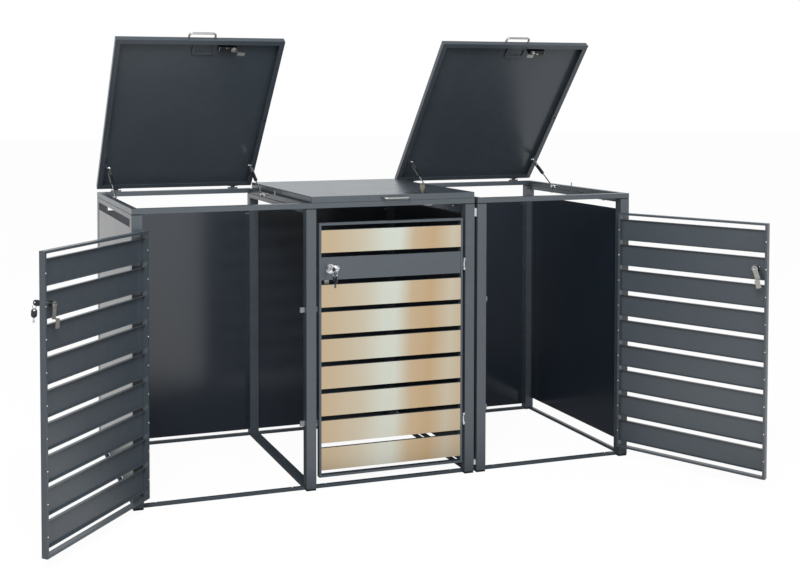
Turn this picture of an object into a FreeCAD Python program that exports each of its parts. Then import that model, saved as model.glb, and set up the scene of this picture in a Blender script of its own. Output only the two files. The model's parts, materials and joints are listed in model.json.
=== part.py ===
import FreeCAD, Part
import math
import os
import re
import Sketcher

# A wheelie bin store: a double unit and a single unit side by side, each bay with a
# slatted door in front and a sheet lid on two gas struts.
# X runs to the right along the front, Y to the back and Z up. The origin is the
# front left bottom corner of the double unit. Lengths are in millimetres.

BAYS = ("left", "middle", "right")

# The driving dimensions
SIZES = {
    # The carcass
    "double_width": 1456,
    "single_width": 742,
    "unit_gap": 14,
    "depth": 830,
    "frame_top": 1165,
    "tube_wall": 1.5,
    "post_width": 42,
    "post_depth": 38,
    "foot_height": 8,
    "head_spacer": 4.5,
    "plug_inset": 1,
    "top_rail_height": 21,
    "top_rail_width": 25,
    "cross_rail_height": 19,
    "rail_seam": 2,
    "floor_rail_height": 13,
    "floor_rail_width": 15,
    "floor_rail_setback": 22,
    "side_panel_bottom": 55,
    "side_panel_top": 1090,
    "side_panel_inset": 1,
    "back_panel_bottom": 20,
    "back_panel_top": 1080,
    "panel_sheet": 1.5,
    "panel_fold": 12,
    "panel_seam": 1,
    "joining_spacer_depth": 22,
    "joining_spacer_setback": 9,
    "upper_spacer_bottom": 1087,
    "upper_spacer_height": 34,
    "lower_spacer_bottom": 31,
    "lower_spacer_height": 20,
    "screw_radius": 4,
    "screw_head": 2,
    "screw_edge": 5,
    "lower_screw_height": 85,
    "upper_screw_height": 1045,
    # The doors
    "door_gap": 12.5,
    "door_sill": 50.5,
    "door_header": 61.5,
    "door_depth": 24,
    "door_proud": 0.8,
    "door_strip": 9,
    "slat_count": 9,
    "slat_gap": 19.5,
    "slat_depth": 12,
    "slat_sheet": 1.5,
    "facing_sheet": 1,
    "facing_set": 0.5,
    "plain_slat_number": 2,
    "hinge_pin_radius": 2,
    "hinge_knuckle_radius": 3.5,
    "hinge_clearance": 0.08,
    "hinge_door_knuckle": 26,
    "hinge_post_knuckle": 12,
    "hinge_end_play": 0.3,
    "hinge_tab": 2.5,
    "upper_hinge_height": 890,
    "lower_hinge_height": 236,
    "stop_width": 18,
    "stop_height": 20,
    "stop_depth": 8,
    "stop_clearance": 0.5,
    "upper_stop_height": 732,
    "lower_stop_height": 270,
    "left_door_angle": 133.6,
    "middle_door_angle": 0,
    "right_door_angle": 118.6,
    # The door locks
    "lock_from_edge": 47,
    "collar_radius": 19,
    "collar_height": 4,
    "barrel_radius": 10,
    "barrel_length": 27,
    "nut_radius": 14,
    "nut_height": 6,
    "plug_radius": 7,
    "plug_clearance": 0.08,
    "plug_proud": 1.5,
    "door_cam_setback": 25,
    "cam_sheet": 2.5,
    "cam_width": 20,
    "door_cam_length": 78,
    "door_cam_knee": 48,
    "door_cam_crank": 16,
    "cam_boss_radius": 12,
    "cam_bolt_radius": 6,
    "cam_bolt_head": 4.5,
    "left_cam_turn": 5,
    "middle_cam_turn": 0,
    "right_cam_turn": 18,
    "key_sheet": 2.4,
    "key_blade_width": 8,
    "key_shank": 26,
    "key_bow_radius": 10.5,
    "key_bow_straight": 11,
    "key_hole_radius": 4,
    "key_hole_offset": 5,
    "key_ring_radius": 10,
    "key_wire_radius": 1.2,
    "key_ring_slack": 0.5,
    "spare_key_turn": 40,
    "spare_key_blade": 18,
    "lid_key_shank": 6,
    # The lids
    "lid_gap": 2,
    "lid_height": 25,
    "lid_sheet": 1.5,
    "lid_lip": 22,
    "lid_rim_gap": 1,
    "lid_corner": 3,
    "lid_hinge_setback": 14,
    "lid_hinge_inset": 88,
    "lid_hinge_length": 46,
    "lid_hinge_middle": 20,
    "lid_hinge_radius": 5,
    "lid_pin_radius": 2.5,
    "lid_leaf_sheet": 3,
    "lid_leaf_height": 20,
    "lid_leaf_lift": 1,
    "frame_leaf_sheet": 2,
    "frame_leaf_height": 18,
    "frame_leaf_drop": 1,
    "lid_ear_height": 3.5,
    "lid_angle": 51.5,
    "handle_length": 122,
    "handle_radius": 4.5,
    "handle_reach": 32,
    "handle_bend": 12,
    "handle_plate_length": 100,
    "handle_plate_shift": 18,
    "handle_plate_depth": 57,
    "handle_plate_height": 8,
    "handle_window_length": 76,
    "handle_window_depth": 36,
    "handle_plate_setback": 6,
    "handle_plate_floor": 1.5,
    "rest_pin_radius": 3,
    "rest_pin_height": 18,
    "rest_pin_inset": 11,
    "rest_pin_setback": 435,
    "rest_pin_clearance": 2.5,
    # The lid locks
    "lid_lock_offset": 118,
    "lid_lock_setback": 46,
    "lid_lock_width": 72,
    "lid_lock_depth": 22,
    "lid_lock_height": 22,
    "lid_neck_radius": 9,
    "left_lock_shift": 25,
    "middle_lock_shift": 26,
    "right_lock_shift": -26,
    "cover_width": 80,
    "cover_depth": 60,
    "cover_sheet": 1.5,
    "lid_cam_drop": 25,
    "lid_cam_length": 42,
    "lid_cam_knee": 12,
    "lid_cam_width": 16,
    "lid_cam_crank": 26,
    "left_lid_cam_turn": 95,
    "middle_lid_cam_turn": 90,
    "right_lid_cam_turn": 84,
    # The gas struts
    "strut_from_pivot": 150,
    "strut_below_rim": 11,
    "strut_foot_reach": 284,
    "strut_foot_drop": 9,
    "strut_side_gap": 13,
    "strut_radius": 8,
    "strut_tube_end": 112,
    "strut_tube_start": 12,
    "strut_neck_radius": 4.5,
    "strut_eye_radius": 7,
    "strut_eye_width": 10,
    "strut_rod_radius": 3,
    "strut_rod_length": 120,
    "strut_clearance": 0.08,
    "stud_radius": 3,
    "stud_ball_radius": 4.5,
    "stud_gap": 0.4,
    "bracket_sheet": 2,
    "bracket_length": 36,
    "bracket_height": 16,
    "lid_bracket_length": 20,
    "bracket_clearance": 0.5,
    "bracket_grip": 10,
}

document = FreeCAD.newDocument("wheelie_bin_store")
sheet = document.addObject("Spreadsheet::Sheet", "Sizes")
for row, (alias, number) in enumerate(SIZES.items(), 1):
    sheet.set(f"A{row}", alias.replace("_", " "))
    sheet.set(f"B{row}", str(number))
    sheet.setAlias(f"B{row}", alias)

worked_out = {}


def derive(name, text):
    """A name for an expression of the driving dimensions."""
    worked_out[name] = bound(text)


def bound(text):
    """Turn an expression in plain names into one that reads the sheet's cells."""

    def cell(match):
        word = match.group(0)
        if word in SIZES:
            return f"Sizes.{word}"
        if word in worked_out:
            return f"({worked_out[word]})"
        return word

    return re.sub(r"[a-z][a-z0-9_]*", cell, str(text))


# The whole
derive("single_start", "double_width + unit_gap")
derive("total_width", "single_start + single_width")
derive("double_middle", "double_width / 2")
derive("double_bay", "(double_width - 3 * post_width) / 2")
derive("single_bay", "single_width - 2 * post_width")
derive("frame_bottom", "frame_top - top_rail_height")
derive("post_length", "frame_bottom - head_spacer - foot_height")
derive("back_post_front", "depth - panel_sheet - post_depth")
derive("middle_post_start", "double_middle - post_width / 2")
derive("pivot_back", "depth + lid_hinge_setback")

# Cutters run past the faces that they open by this much
derive("overshoot", "tube_wall")

# Where each bay's door opening starts, how wide it is, and which lid covers it
derive("left_bay_start", "post_width")
derive("middle_bay_start", "middle_post_start + post_width")
derive("right_bay_start", "single_start + post_width")
derive("left_bay_width", "double_bay")
derive("middle_bay_width", "double_bay")
derive("right_bay_width", "single_bay")
derive("left_lid_start", "0")
derive("middle_lid_start", "double_middle + lid_gap / 2")
derive("right_lid_start", "single_start")
derive("left_lid_width", "double_middle - lid_gap / 2")
derive("middle_lid_width", "double_middle - lid_gap / 2")
derive("right_lid_width", "single_width")
derive("left_lid_angle", "lid_angle")
derive("middle_lid_angle", "0")
derive("right_lid_angle", "lid_angle")

# The opening between the top rails under each lid
derive("left_mouth_start", "top_rail_width")
derive("left_mouth_end", "middle_post_start")
derive("middle_mouth_start", "middle_post_start + post_width")
derive("middle_mouth_end", "double_width - top_rail_width")
derive("right_mouth_start", "single_start + top_rail_width")
derive("right_mouth_end", "total_width - top_rail_width")

# Sizes that every door shares
derive("door_reach", "door_gap / 2")
derive("door_height", "frame_bottom - door_header - door_sill")
derive("window_height", "door_height - 2 * door_strip")
derive("slat_height", "(window_height - (slat_count + 1) * slat_gap) / slat_count")
derive("slat_pitch", "slat_height + slat_gap")
derive("slat_front", "facing_set + facing_sheet")
derive("top_slat", "door_sill + door_strip + slat_gap + (slat_count - 1) * slat_pitch")
derive("lock_height", "top_slat - (plain_slat_number - 1) * slat_pitch + slat_height / 2")


def place(x, y, z, axis="0; 0; 1", angle="0"):
    """A placement expression: a shift after a turn about an axis through the origin."""
    shift = f"vector({bound(x)}; {bound(y)}; {bound(z)})"
    return f"placement({shift}; rotation(vector({axis}); {bound(angle)}))"


def box(name, corner, extent, flip=False):
    """A block from its lowest corner and its extent. flip mirrors it about X = 0."""
    solid = document.addObject("Part::Box", name)
    for side, text in zip(("Length", "Width", "Height"), extent):
        solid.setExpression(side, bound(text))
    x, y, z = corner
    if flip:
        x = f"0 - ({x}) - ({extent[0]})"
    solid.setExpression("Placement", place(x, y, z))
    return solid


def cylinder(name, start, radius, length, along="Z"):
    """A round bar from the middle of one end, along X, Y or Z."""
    solid = document.addObject("Part::Cylinder", name)
    solid.setExpression("Radius", bound(radius))
    solid.setExpression("Height", bound(length))
    turns = {"X": ("0; 1; 0", "90"), "Y": ("1; 0; 0", "-90"), "Z": ("0; 0; 1", "0")}
    solid.setExpression("Placement", place(*start, *turns[along]))
    return solid


def cut(name, base, tool):
    """The base less the tool."""
    result = document.addObject("Part::Cut", name)
    result.Base = base
    result.Tool = tool
    return result


def fuse(name, pieces):
    """Several overlapping or touching shapes as one solid."""
    result = document.addObject("Part::MultiFuse", name)
    result.Shapes = pieces
    result.Refine = True
    return result


def group(name, pieces, placement=None):
    """Separate solids carried together, with their shared placement."""
    result = document.addObject("Part::Compound", name)
    result.Links = pieces
    if placement:
        result.setExpression("Placement", placement)
    return result


def ring(name, corner, extent, border, flip=False):
    """A rectangular frame in the XZ plane: a block less its window."""
    x, y, z = corner
    length, width, height = extent
    outer = box(f"{name}_outer", corner, extent, flip)
    window = box(
        f"{name}_window",
        (f"{x} + {border}", f"{y} - overshoot", f"{z} + {border}"),
        (f"{length} - 2 * {border}", f"{width} + 2 * overshoot", f"{height} - 2 * {border}"),
        flip,
    )
    return cut(name, outer, window)


def origin_plane(body, role):
    """The body's own origin plane of that role."""
    return [feature for feature in body.Origin.OriginFeatures if feature.Role == role][0]


def profile(body, role, name, *loops):
    """A sketch whose corners are each held by two bound distances from the origin."""
    sketch = body.newObject("Sketcher::SketchObject", name)
    sketch.AttachmentSupport = (origin_plane(body, role), [""])
    sketch.MapMode = "FlatFace"
    for loop in loops:
        first = sketch.GeometryCount
        count = len(loop)
        turn = 2 * math.pi / count
        corners = [FreeCAD.Vector(math.cos(turn * k), math.sin(turn * k), 0) for k in range(count)]
        for k in range(count):
            sketch.addGeometry(Part.LineSegment(corners[k], corners[(k + 1) % count]))
        for k in range(count):
            joined = Sketcher.Constraint("Coincident", first + k, 2, first + (k + 1) % count, 1)
            sketch.addConstraint(joined)
        for k, (across, up) in enumerate(loop):
            for kind, text, start in (
                ("DistanceX", across, corners[k].x),
                ("DistanceY", up, corners[k].y),
            ):
                index = sketch.addConstraint(
                    Sketcher.Constraint(kind, -1, 1, first + k, 1, start)
                )
                sketch.setExpression(f"Constraints[{index}]", bound(text))
    return sketch


def pad(body, sketch, name, length):
    """Thicken a sketch along its plane's normal."""
    feature = body.newObject("PartDesign::Pad", name)
    feature.Profile = sketch
    feature.setExpression("Length", bound(length))
    return feature


def rectangle(x0, y0, x1, y1):
    """The corners of a rectangle for a profile."""
    return [(x0, y0), (x1, y0), (x1, y1), (x0, y1)]


nodes = {}


def node(name, pieces, placement=None):
    """Name a sub-part of the store and keep it for export."""
    part = group(name, pieces, placement)
    part.Label = name
    nodes[name] = part
    return part


# Posts: rectangular tube with a foot plug under it and a dark spacer on its head


def post(name, x, y):
    """One upright of rectangular tube."""
    body = document.addObject("PartDesign::Body", name)
    sketch = profile(
        body,
        "XY_Plane",
        f"{name}_section",
        rectangle("0", "0", "post_width", "post_depth"),
        rectangle(
            "tube_wall",
            "tube_wall",
            "post_width - tube_wall",
            "post_depth - tube_wall",
        ),
    )
    pad(body, sketch, f"{name}_tube", "post_length")
    body.setExpression("Placement", place(x, y, "foot_height"))
    return body


def plugs(name, x, y):
    """The foot and the head spacer of one post, both set in a little from its faces."""
    corner_x = f"{x} + plug_inset"
    corner_y = f"{y} + plug_inset"
    across = "post_width - 2 * plug_inset"
    deep = "post_depth - 2 * plug_inset"
    foot = box(f"{name}_foot", (corner_x, corner_y, "0"), (across, deep, "foot_height"))
    head = box(
        f"{name}_head",
        (corner_x, corner_y, "frame_bottom - head_spacer"),
        (across, deep, "head_spacer"),
    )
    return [foot, head]


double_places = ("0", "middle_post_start", "double_width - post_width")
single_places = ("single_start", "total_width - post_width")
post_plugs = []
for unit, places in (("double", double_places), ("single", single_places)):
    unit_posts = []
    for number, x in enumerate(places):
        for row, y in (("front", "0"), ("back", "back_post_front")):
            name = f"{row}_post_{unit}_{number}"
            unit_posts.append(post(name, x, y))
            post_plugs += plugs(name, x, y)
    node(f"posts_{unit}", unit_posts)
node("post_plugs", post_plugs)


# Top frames: mitred rails of downward channel, welded into a ring


def top_frame(unit, start, width, openings):
    """A ring of channel that is closed on top and open underneath."""
    outer = box(
        f"{unit}_frame_outer",
        (start, "0", "frame_bottom"),
        (width, "depth", "top_rail_height"),
    )
    hollow = box(
        f"{unit}_frame_hollow",
        (f"{start} + tube_wall", "tube_wall", "frame_bottom - overshoot"),
        (
            f"{width} - 2 * tube_wall",
            "depth - 2 * tube_wall",
            "top_rail_height + overshoot - tube_wall",
        ),
    )
    mouths = []
    walls = []
    for number, (low, high) in enumerate(openings):
        mouths.append(
            box(
                f"{unit}_mouth_{number}",
                (low, "top_rail_width", "frame_bottom - overshoot"),
                (
                    f"{high} - {low}",
                    "depth - 2 * top_rail_width",
                    "top_rail_height + 2 * overshoot",
                ),
            )
        )
        walls.append(
            box(
                f"{unit}_wall_{number}",
                (
                    f"{low} - tube_wall",
                    "top_rail_width - tube_wall",
                    "frame_bottom - overshoot",
                ),
                (
                    f"{high} - {low} + 2 * tube_wall",
                    "depth - 2 * top_rail_width + 2 * tube_wall",
                    "top_rail_height + 2 * overshoot",
                ),
            )
        )
    channel = cut(f"{unit}_channel", hollow, group(f"{unit}_walls", walls))
    pressed = cut(f"{unit}_pressed", outer, channel)
    return cut(f"{unit}_frame", pressed, group(f"{unit}_mouths", mouths))


node(
    "top_frame_double",
    [
        top_frame(
            "double",
            "0",
            "double_width",
            [
                ("left_mouth_start", "left_mouth_end"),
                ("middle_mouth_start", "middle_mouth_end"),
            ],
        )
    ],
)
node(
    "top_frame_single",
    [
        top_frame(
            "single",
            "single_start",
            "single_width",
            [("right_mouth_start", "right_mouth_end")],
        )
    ],
)

# Rails and panels

cross_rails = []
for name, x, width in (
    ("left", "0", "top_rail_width"),
    ("middle", "middle_post_start", "post_width"),
    ("double_right", "double_width - top_rail_width", "top_rail_width"),
    ("single_left", "single_start", "top_rail_width"),
    ("single_right", "total_width - top_rail_width", "top_rail_width"),
):
    cross_rails.append(
        box(
            f"cross_rail_{name}",
            (x, "post_depth", "frame_bottom - rail_seam - cross_rail_height"),
            (width, "back_post_front - post_depth", "cross_rail_height"),
        )
    )
node("cross_rails", cross_rails)

floor_rails = []
for bay in BAYS:
    for row, y in (
        ("front", "floor_rail_setback"),
        ("back", "back_post_front + floor_rail_setback - floor_rail_width"),
    ):
        floor_rails.append(
            box(
                f"floor_rail_{row}_{bay}",
                (f"{bay}_bay_start", y, "0"),
                (f"{bay}_bay_width", "floor_rail_width", "floor_rail_height"),
            )
        )
for name, x, width in (
    ("left", "post_width / 2 - floor_rail_width", "floor_rail_width"),
    ("middle", "middle_post_start", "post_width"),
    ("double_right", "double_width - post_width / 2", "floor_rail_width"),
    ("single_left", "single_start + post_width / 2 - floor_rail_width", "floor_rail_width"),
    ("single_right", "total_width - post_width / 2", "floor_rail_width"),
):
    floor_rails.append(
        box(
            f"floor_rail_{name}",
            (x, "post_depth", "0"),
            (width, "back_post_front - post_depth", "floor_rail_height"),
        )
    )
node("floor_rails", floor_rails)


def side_panel(name, x, inward):
    """A sheet between front and back post whose upright edges are folded inward."""
    deep = "back_post_front - post_depth"
    tall = "side_panel_top - side_panel_bottom"
    flip = inward < 0
    skin = box(
        f"{name}_skin",
        ("side_panel_inset", "post_depth", "side_panel_bottom"),
        ("panel_sheet", deep, tall),
        flip,
    )
    folds = []
    for edge, y in (("front", "post_depth"), ("back", "back_post_front - panel_sheet")):
        folds.append(
            box(
                f"{name}_{edge}_fold",
                ("side_panel_inset", y, "side_panel_bottom"),
                ("panel_fold", "panel_sheet", tall),
                flip,
            )
        )
    panel = fuse(name, [skin] + folds)
    panel.setExpression("Placement", place(x, "0", "0"))
    return panel


node(
    "side_panels",
    [
        side_panel("side_panel_double_left", "0", 1),
        side_panel("side_panel_double_right", "double_width", -1),
        side_panel("side_panel_single_left", "single_start", 1),
        side_panel("side_panel_single_right", "total_width", -1),
    ],
)

back_panels = []
for name, x, width in (
    ("left", "0", "double_middle - panel_seam / 2"),
    ("middle", "double_middle + panel_seam / 2", "double_middle - panel_seam / 2"),
    ("right", "single_start", "single_width"),
):
    back_panels.append(
        box(
            f"back_panel_{name}",
            (x, "depth - panel_sheet", "back_panel_bottom"),
            (width, "panel_sheet", "back_panel_top - back_panel_bottom"),
        )
    )
node("back_panels", back_panels)

panel_screws = []
for number, x in enumerate(
    (
        "middle_post_start - screw_edge",
        "middle_post_start + post_width + screw_edge",
        "single_start + post_width + screw_edge",
        "total_width - post_width - screw_edge",
        "post_width + screw_edge",
        "double_width - post_width - screw_edge",
    )
):
    for end, z in (
        ("low", "lower_screw_height"),
        ("high", "upper_screw_height"),
    ):
        panel_screws.append(
            cylinder(
                f"panel_screw_{number}_{end}",
                (x, "depth - panel_sheet - screw_head", z),
                "screw_radius",
                "screw_head",
                "Y",
            )
        )
node("panel_screws", panel_screws)

joining_spacers = []
for level in ("upper", "lower"):
    joining_spacers.append(
        box(
            f"joining_spacer_{level}",
            ("double_width", "joining_spacer_setback", f"{level}_spacer_bottom"),
            ("unit_gap", "joining_spacer_depth", f"{level}_spacer_height"),
        )
    )
node("joining_spacers", joining_spacers)

# Doors. Each is worked out with its hinge axis at X = 0 and Y = 0, closed along X, and
# a door that is hinged on its right is the mirror image of that. It is then turned open.

DOOR_SIDE = {"left": 1, "middle": -1, "right": -1}


def door_placement(bay):
    """The turn and shift that put a door on its hinge axis at its open angle."""
    if DOOR_SIDE[bay] > 0:
        return place(f"{bay}_bay_start + door_reach", "0", "0", angle=f"0 - {bay}_door_angle")
    hinge_x = f"{bay}_bay_start + {bay}_bay_width - door_reach"
    return place(hinge_x, "0", "0", angle=f"{bay}_door_angle")


def knuckle_bore(name, height):
    """The hole for the hinge pin through one door knuckle."""
    return cylinder(
        name,
        ("0", "0", f"{height} - hinge_door_knuckle"),
        "hinge_pin_radius + hinge_clearance",
        "2 * hinge_door_knuckle",
    )


def door_frame(bay, width, flip):
    """A frame of flat tube with two hinge knuckles welded to its hinge stile."""
    start = "door_reach"
    bars = ring(
        f"{bay}_door_bars",
        (start, "0 - door_proud", "door_sill"),
        (width, "door_depth", "door_height"),
        "door_strip",
        flip,
    )
    hollow = ring(
        f"{bay}_door_hollow",
        (f"{start} + tube_wall", "tube_wall - door_proud", "door_sill + tube_wall"),
        (
            f"{width} - 2 * tube_wall",
            "door_depth - 2 * tube_wall",
            "door_height - 2 * tube_wall",
        ),
        "(door_strip - 2 * tube_wall)",
        flip,
    )
    drains = []
    for side, x in (
        ("hinge", f"{start} + tube_wall"),
        ("free", f"{start} + {width} - door_strip + tube_wall"),
    ):
        drains.append(
            box(
                f"{bay}_door_drain_{side}",
                (x, "tube_wall - door_proud", "door_sill - overshoot"),
                (
                    "door_strip - 2 * tube_wall",
                    "door_depth - 2 * tube_wall",
                    "2 * tube_wall + overshoot",
                ),
                flip,
            )
        )
    tube = cut(f"{bay}_door_tube", bars, fuse(f"{bay}_door_void", [hollow] + drains))
    knuckles = []
    bores = []
    for level in ("upper", "lower"):
        height = f"{level}_hinge_height"
        low = f"{height} - hinge_door_knuckle / 2"
        knuckles.append(
            cylinder(
                f"{bay}_knuckle_{level}",
                ("0", "0", low),
                "hinge_knuckle_radius",
                "hinge_door_knuckle",
            )
        )
        knuckles.append(
            box(
                f"{bay}_knuckle_tab_{level}",
                ("0", "0 - door_proud", low),
                ("door_reach", "hinge_tab", "hinge_door_knuckle"),
                flip,
            )
        )
        bores.append(knuckle_bore(f"{bay}_knuckle_bore_{level}", height))
    welded = fuse(f"{bay}_door_welded", [tube] + knuckles)
    return cut(f"{bay}_door_drilled", welded, group(f"{bay}_knuckle_bores", bores))


def slats(bay, width, flip):
    """The column of folded slats, drilled where the lock barrel goes through."""
    body = document.addObject("PartDesign::Body", f"{bay}_slat_column")
    back = "slat_front + slat_depth"
    web = "slat_front + slat_sheet"
    sketch = profile(
        body,
        "YZ_Plane",
        f"{bay}_slat_section",
        [
            ("slat_front", "0"),
            (back, "0"),
            (back, "slat_sheet"),
            (web, "slat_sheet"),
            (web, "slat_height - slat_sheet"),
            (back, "slat_height - slat_sheet"),
            (back, "slat_height"),
            ("slat_front", "slat_height"),
        ],
    )
    first = pad(body, sketch, f"{bay}_lowest_slat", f"{width} - 2 * door_strip")
    column = body.newObject("PartDesign::LinearPattern", f"{bay}_slat_pattern")
    column.Originals = [first]
    column.Direction = (origin_plane(body, "XY_Plane"), [""])
    column.setExpression("Length", bound("slat_pitch * (slat_count - 1)"))
    column.setExpression("Occurrences", bound("slat_count"))
    body.Tip = column
    start = "door_reach + door_strip"
    if flip:
        start = f"0 - door_reach - {width} + door_strip"
    body.setExpression(
        "Placement",
        place(start, "0 - door_proud", "door_sill + door_strip + slat_gap"),
    )
    barrel_hole = cylinder(
        f"{bay}_barrel_hole",
        (lock_x(width, flip), "0 - door_proud", "lock_height"),
        "barrel_radius",
        "door_depth",
        "Y",
    )
    return cut(f"{bay}_slats_drilled", body, barrel_hole)


def lock_x(width, flip):
    """Where the lock stands along the door."""
    along = f"door_reach + {width} - lock_from_edge"
    return f"0 - ({along})" if flip else along


def facings(bay, width, flip):
    """Thin metal facings on every slat but the plain one that carries the lock."""
    pieces = []
    for number in range(1, int(SIZES["slat_count"]) + 1):
        if number == SIZES["plain_slat_number"]:
            continue
        pieces.append(
            box(
                f"{bay}_facing_{number}",
                (
                    "door_reach + door_strip",
                    "facing_set - door_proud",
                    f"top_slat - {number - 1} * slat_pitch",
                ),
                (f"{width} - 2 * door_strip", "facing_sheet", "slat_height"),
                flip,
            )
        )
    return pieces


def door_lock_body(bay, x):
    """A collar and barrel held to the slat by a nut, with a bore for the plug."""
    front = "slat_front - door_proud"
    web_back = "slat_front - door_proud + slat_sheet"
    collar = cylinder(
        f"{bay}_collar",
        (x, f"{front} - collar_height", "lock_height"),
        "collar_radius",
        "collar_height",
        "Y",
    )
    barrel = cylinder(
        f"{bay}_barrel",
        (x, f"{front} - collar_height", "lock_height"),
        "barrel_radius",
        "barrel_length",
        "Y",
    )
    nut = cylinder(
        f"{bay}_barrel_nut",
        (x, web_back, "lock_height"),
        "nut_radius",
        "nut_height",
        "Y",
    )
    bore = cylinder(
        f"{bay}_plug_bore",
        (x, f"{front} - collar_height - overshoot", "lock_height"),
        "plug_radius + plug_clearance",
        "barrel_length + 2 * overshoot",
        "Y",
    )
    whole = fuse(f"{bay}_lock_whole", [collar, barrel, nut])
    return cut(f"{bay}_lock_bored", whole, bore)


def door_cam(bay, x, side):
    """The lock plug with its cam, which hangs from the plug and is cranked inwards."""
    plug_front = "slat_front - door_proud - collar_height - plug_proud"
    cam_front = "door_cam_setback - door_proud"
    half = "0 - cam_width / 2"
    pieces = [
        cylinder(
            f"{bay}_plug",
            ("0", plug_front, "0"),
            "plug_radius",
            f"{cam_front} - ({plug_front})",
            "Y",
        ),
        cylinder(
            f"{bay}_cam_boss",
            ("0", cam_front, "0"),
            "cam_boss_radius",
            "cam_sheet",
            "Y",
        ),
        box(
            f"{bay}_cam_near",
            (half, cam_front, "0 - door_cam_knee"),
            ("cam_width", "cam_sheet", "door_cam_knee"),
        ),
        box(
            f"{bay}_cam_step",
            (half, cam_front, "0 - door_cam_knee"),
            ("cam_width", "door_cam_crank + cam_sheet", "cam_sheet"),
        ),
        box(
            f"{bay}_cam_far",
            (half, f"{cam_front} + door_cam_crank", "0 - door_cam_length"),
            ("cam_width", "cam_sheet", "door_cam_length - door_cam_knee + cam_sheet"),
        ),
        cylinder(
            f"{bay}_cam_bolt",
            ("0", f"{cam_front} + cam_sheet", "0"),
            "cam_bolt_radius",
            "cam_bolt_head",
            "Y",
        ),
    ]
    cam = fuse(f"{bay}_cam_whole", pieces)
    turned = place(x, "0", "lock_height", "0; 1; 0", f"{-side} * {bay}_cam_turn")
    return group(f"{bay}_cam_turned", [cam], turned)


def key(name, blade):
    """A flat key in the YZ plane with its hole at the origin and its blade along -Y."""
    half = "0 - key_sheet / 2"
    bow_end = "0 - key_hole_offset"
    bow_start = "0 - key_hole_offset - key_bow_straight"
    outer = cylinder(
        f"{name}_bow_end",
        (half, bow_end, "0"),
        "key_bow_radius",
        "key_sheet",
        "X",
    )
    inner = cylinder(
        f"{name}_bow_start",
        (half, bow_start, "0"),
        "key_bow_radius",
        "key_sheet",
        "X",
    )
    straight = box(
        f"{name}_bow_straight",
        (half, bow_start, "0 - key_bow_radius"),
        ("key_sheet", "key_bow_straight", "2 * key_bow_radius"),
    )
    shank = box(
        f"{name}_blade",
        (half, f"{bow_start} - key_bow_radius - {blade}", "0 - key_blade_width / 2"),
        ("key_sheet", f"key_bow_radius + {blade}", "key_blade_width"),
    )
    hole = cylinder(
        f"{name}_hole",
        ("0 - key_sheet", "0", "0"),
        "key_hole_radius",
        "2 * key_sheet",
        "X",
    )
    return cut(name, fuse(f"{name}_solid", [outer, inner, straight, shank]), hole)


def door_keys(bay, x, side):
    """The key in the plug, the ring through its bow and the spare key on the ring."""
    plug_front = "slat_front - door_proud - collar_height - plug_proud"
    hole_y = f"({plug_front} - key_shank - key_bow_radius - key_bow_straight - key_hole_offset)"
    in_lock = group(
        f"{bay}_key_in_lock",
        [key(f"{bay}_key", "key_shank")],
        place("0", hole_y, "0", "0; 0; 1", "180"),
    )
    seat = "(key_hole_radius - key_wire_radius - key_ring_slack)"
    ring_middle = f"0 - key_ring_radius - {seat}"
    split_ring = document.addObject("Part::Torus", f"{bay}_key_ring")
    split_ring.setExpression("Radius1", bound("key_ring_radius"))
    split_ring.setExpression("Radius2", bound("key_wire_radius"))
    split_ring.setExpression("Placement", place("0", hole_y, ring_middle, "1; 0; 0", "90"))
    hanging = group(
        f"{bay}_spare_key_hanging",
        [key(f"{bay}_spare_key", "spare_key_blade")],
        place("0", "0", "0", "1; 0; 0", "90"),
    )
    spare = group(
        f"{bay}_spare_key_turned",
        [hanging],
        place("0", hole_y, f"0 - 2 * key_ring_radius - 2 * {seat}", angle="spare_key_turn"),
    )
    turned = place(x, "0", "lock_height", "0; 1; 0", f"{-side} * {bay}_cam_turn")
    return group(f"{bay}_keys_turned", [in_lock, split_ring, spare], turned)


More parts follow.
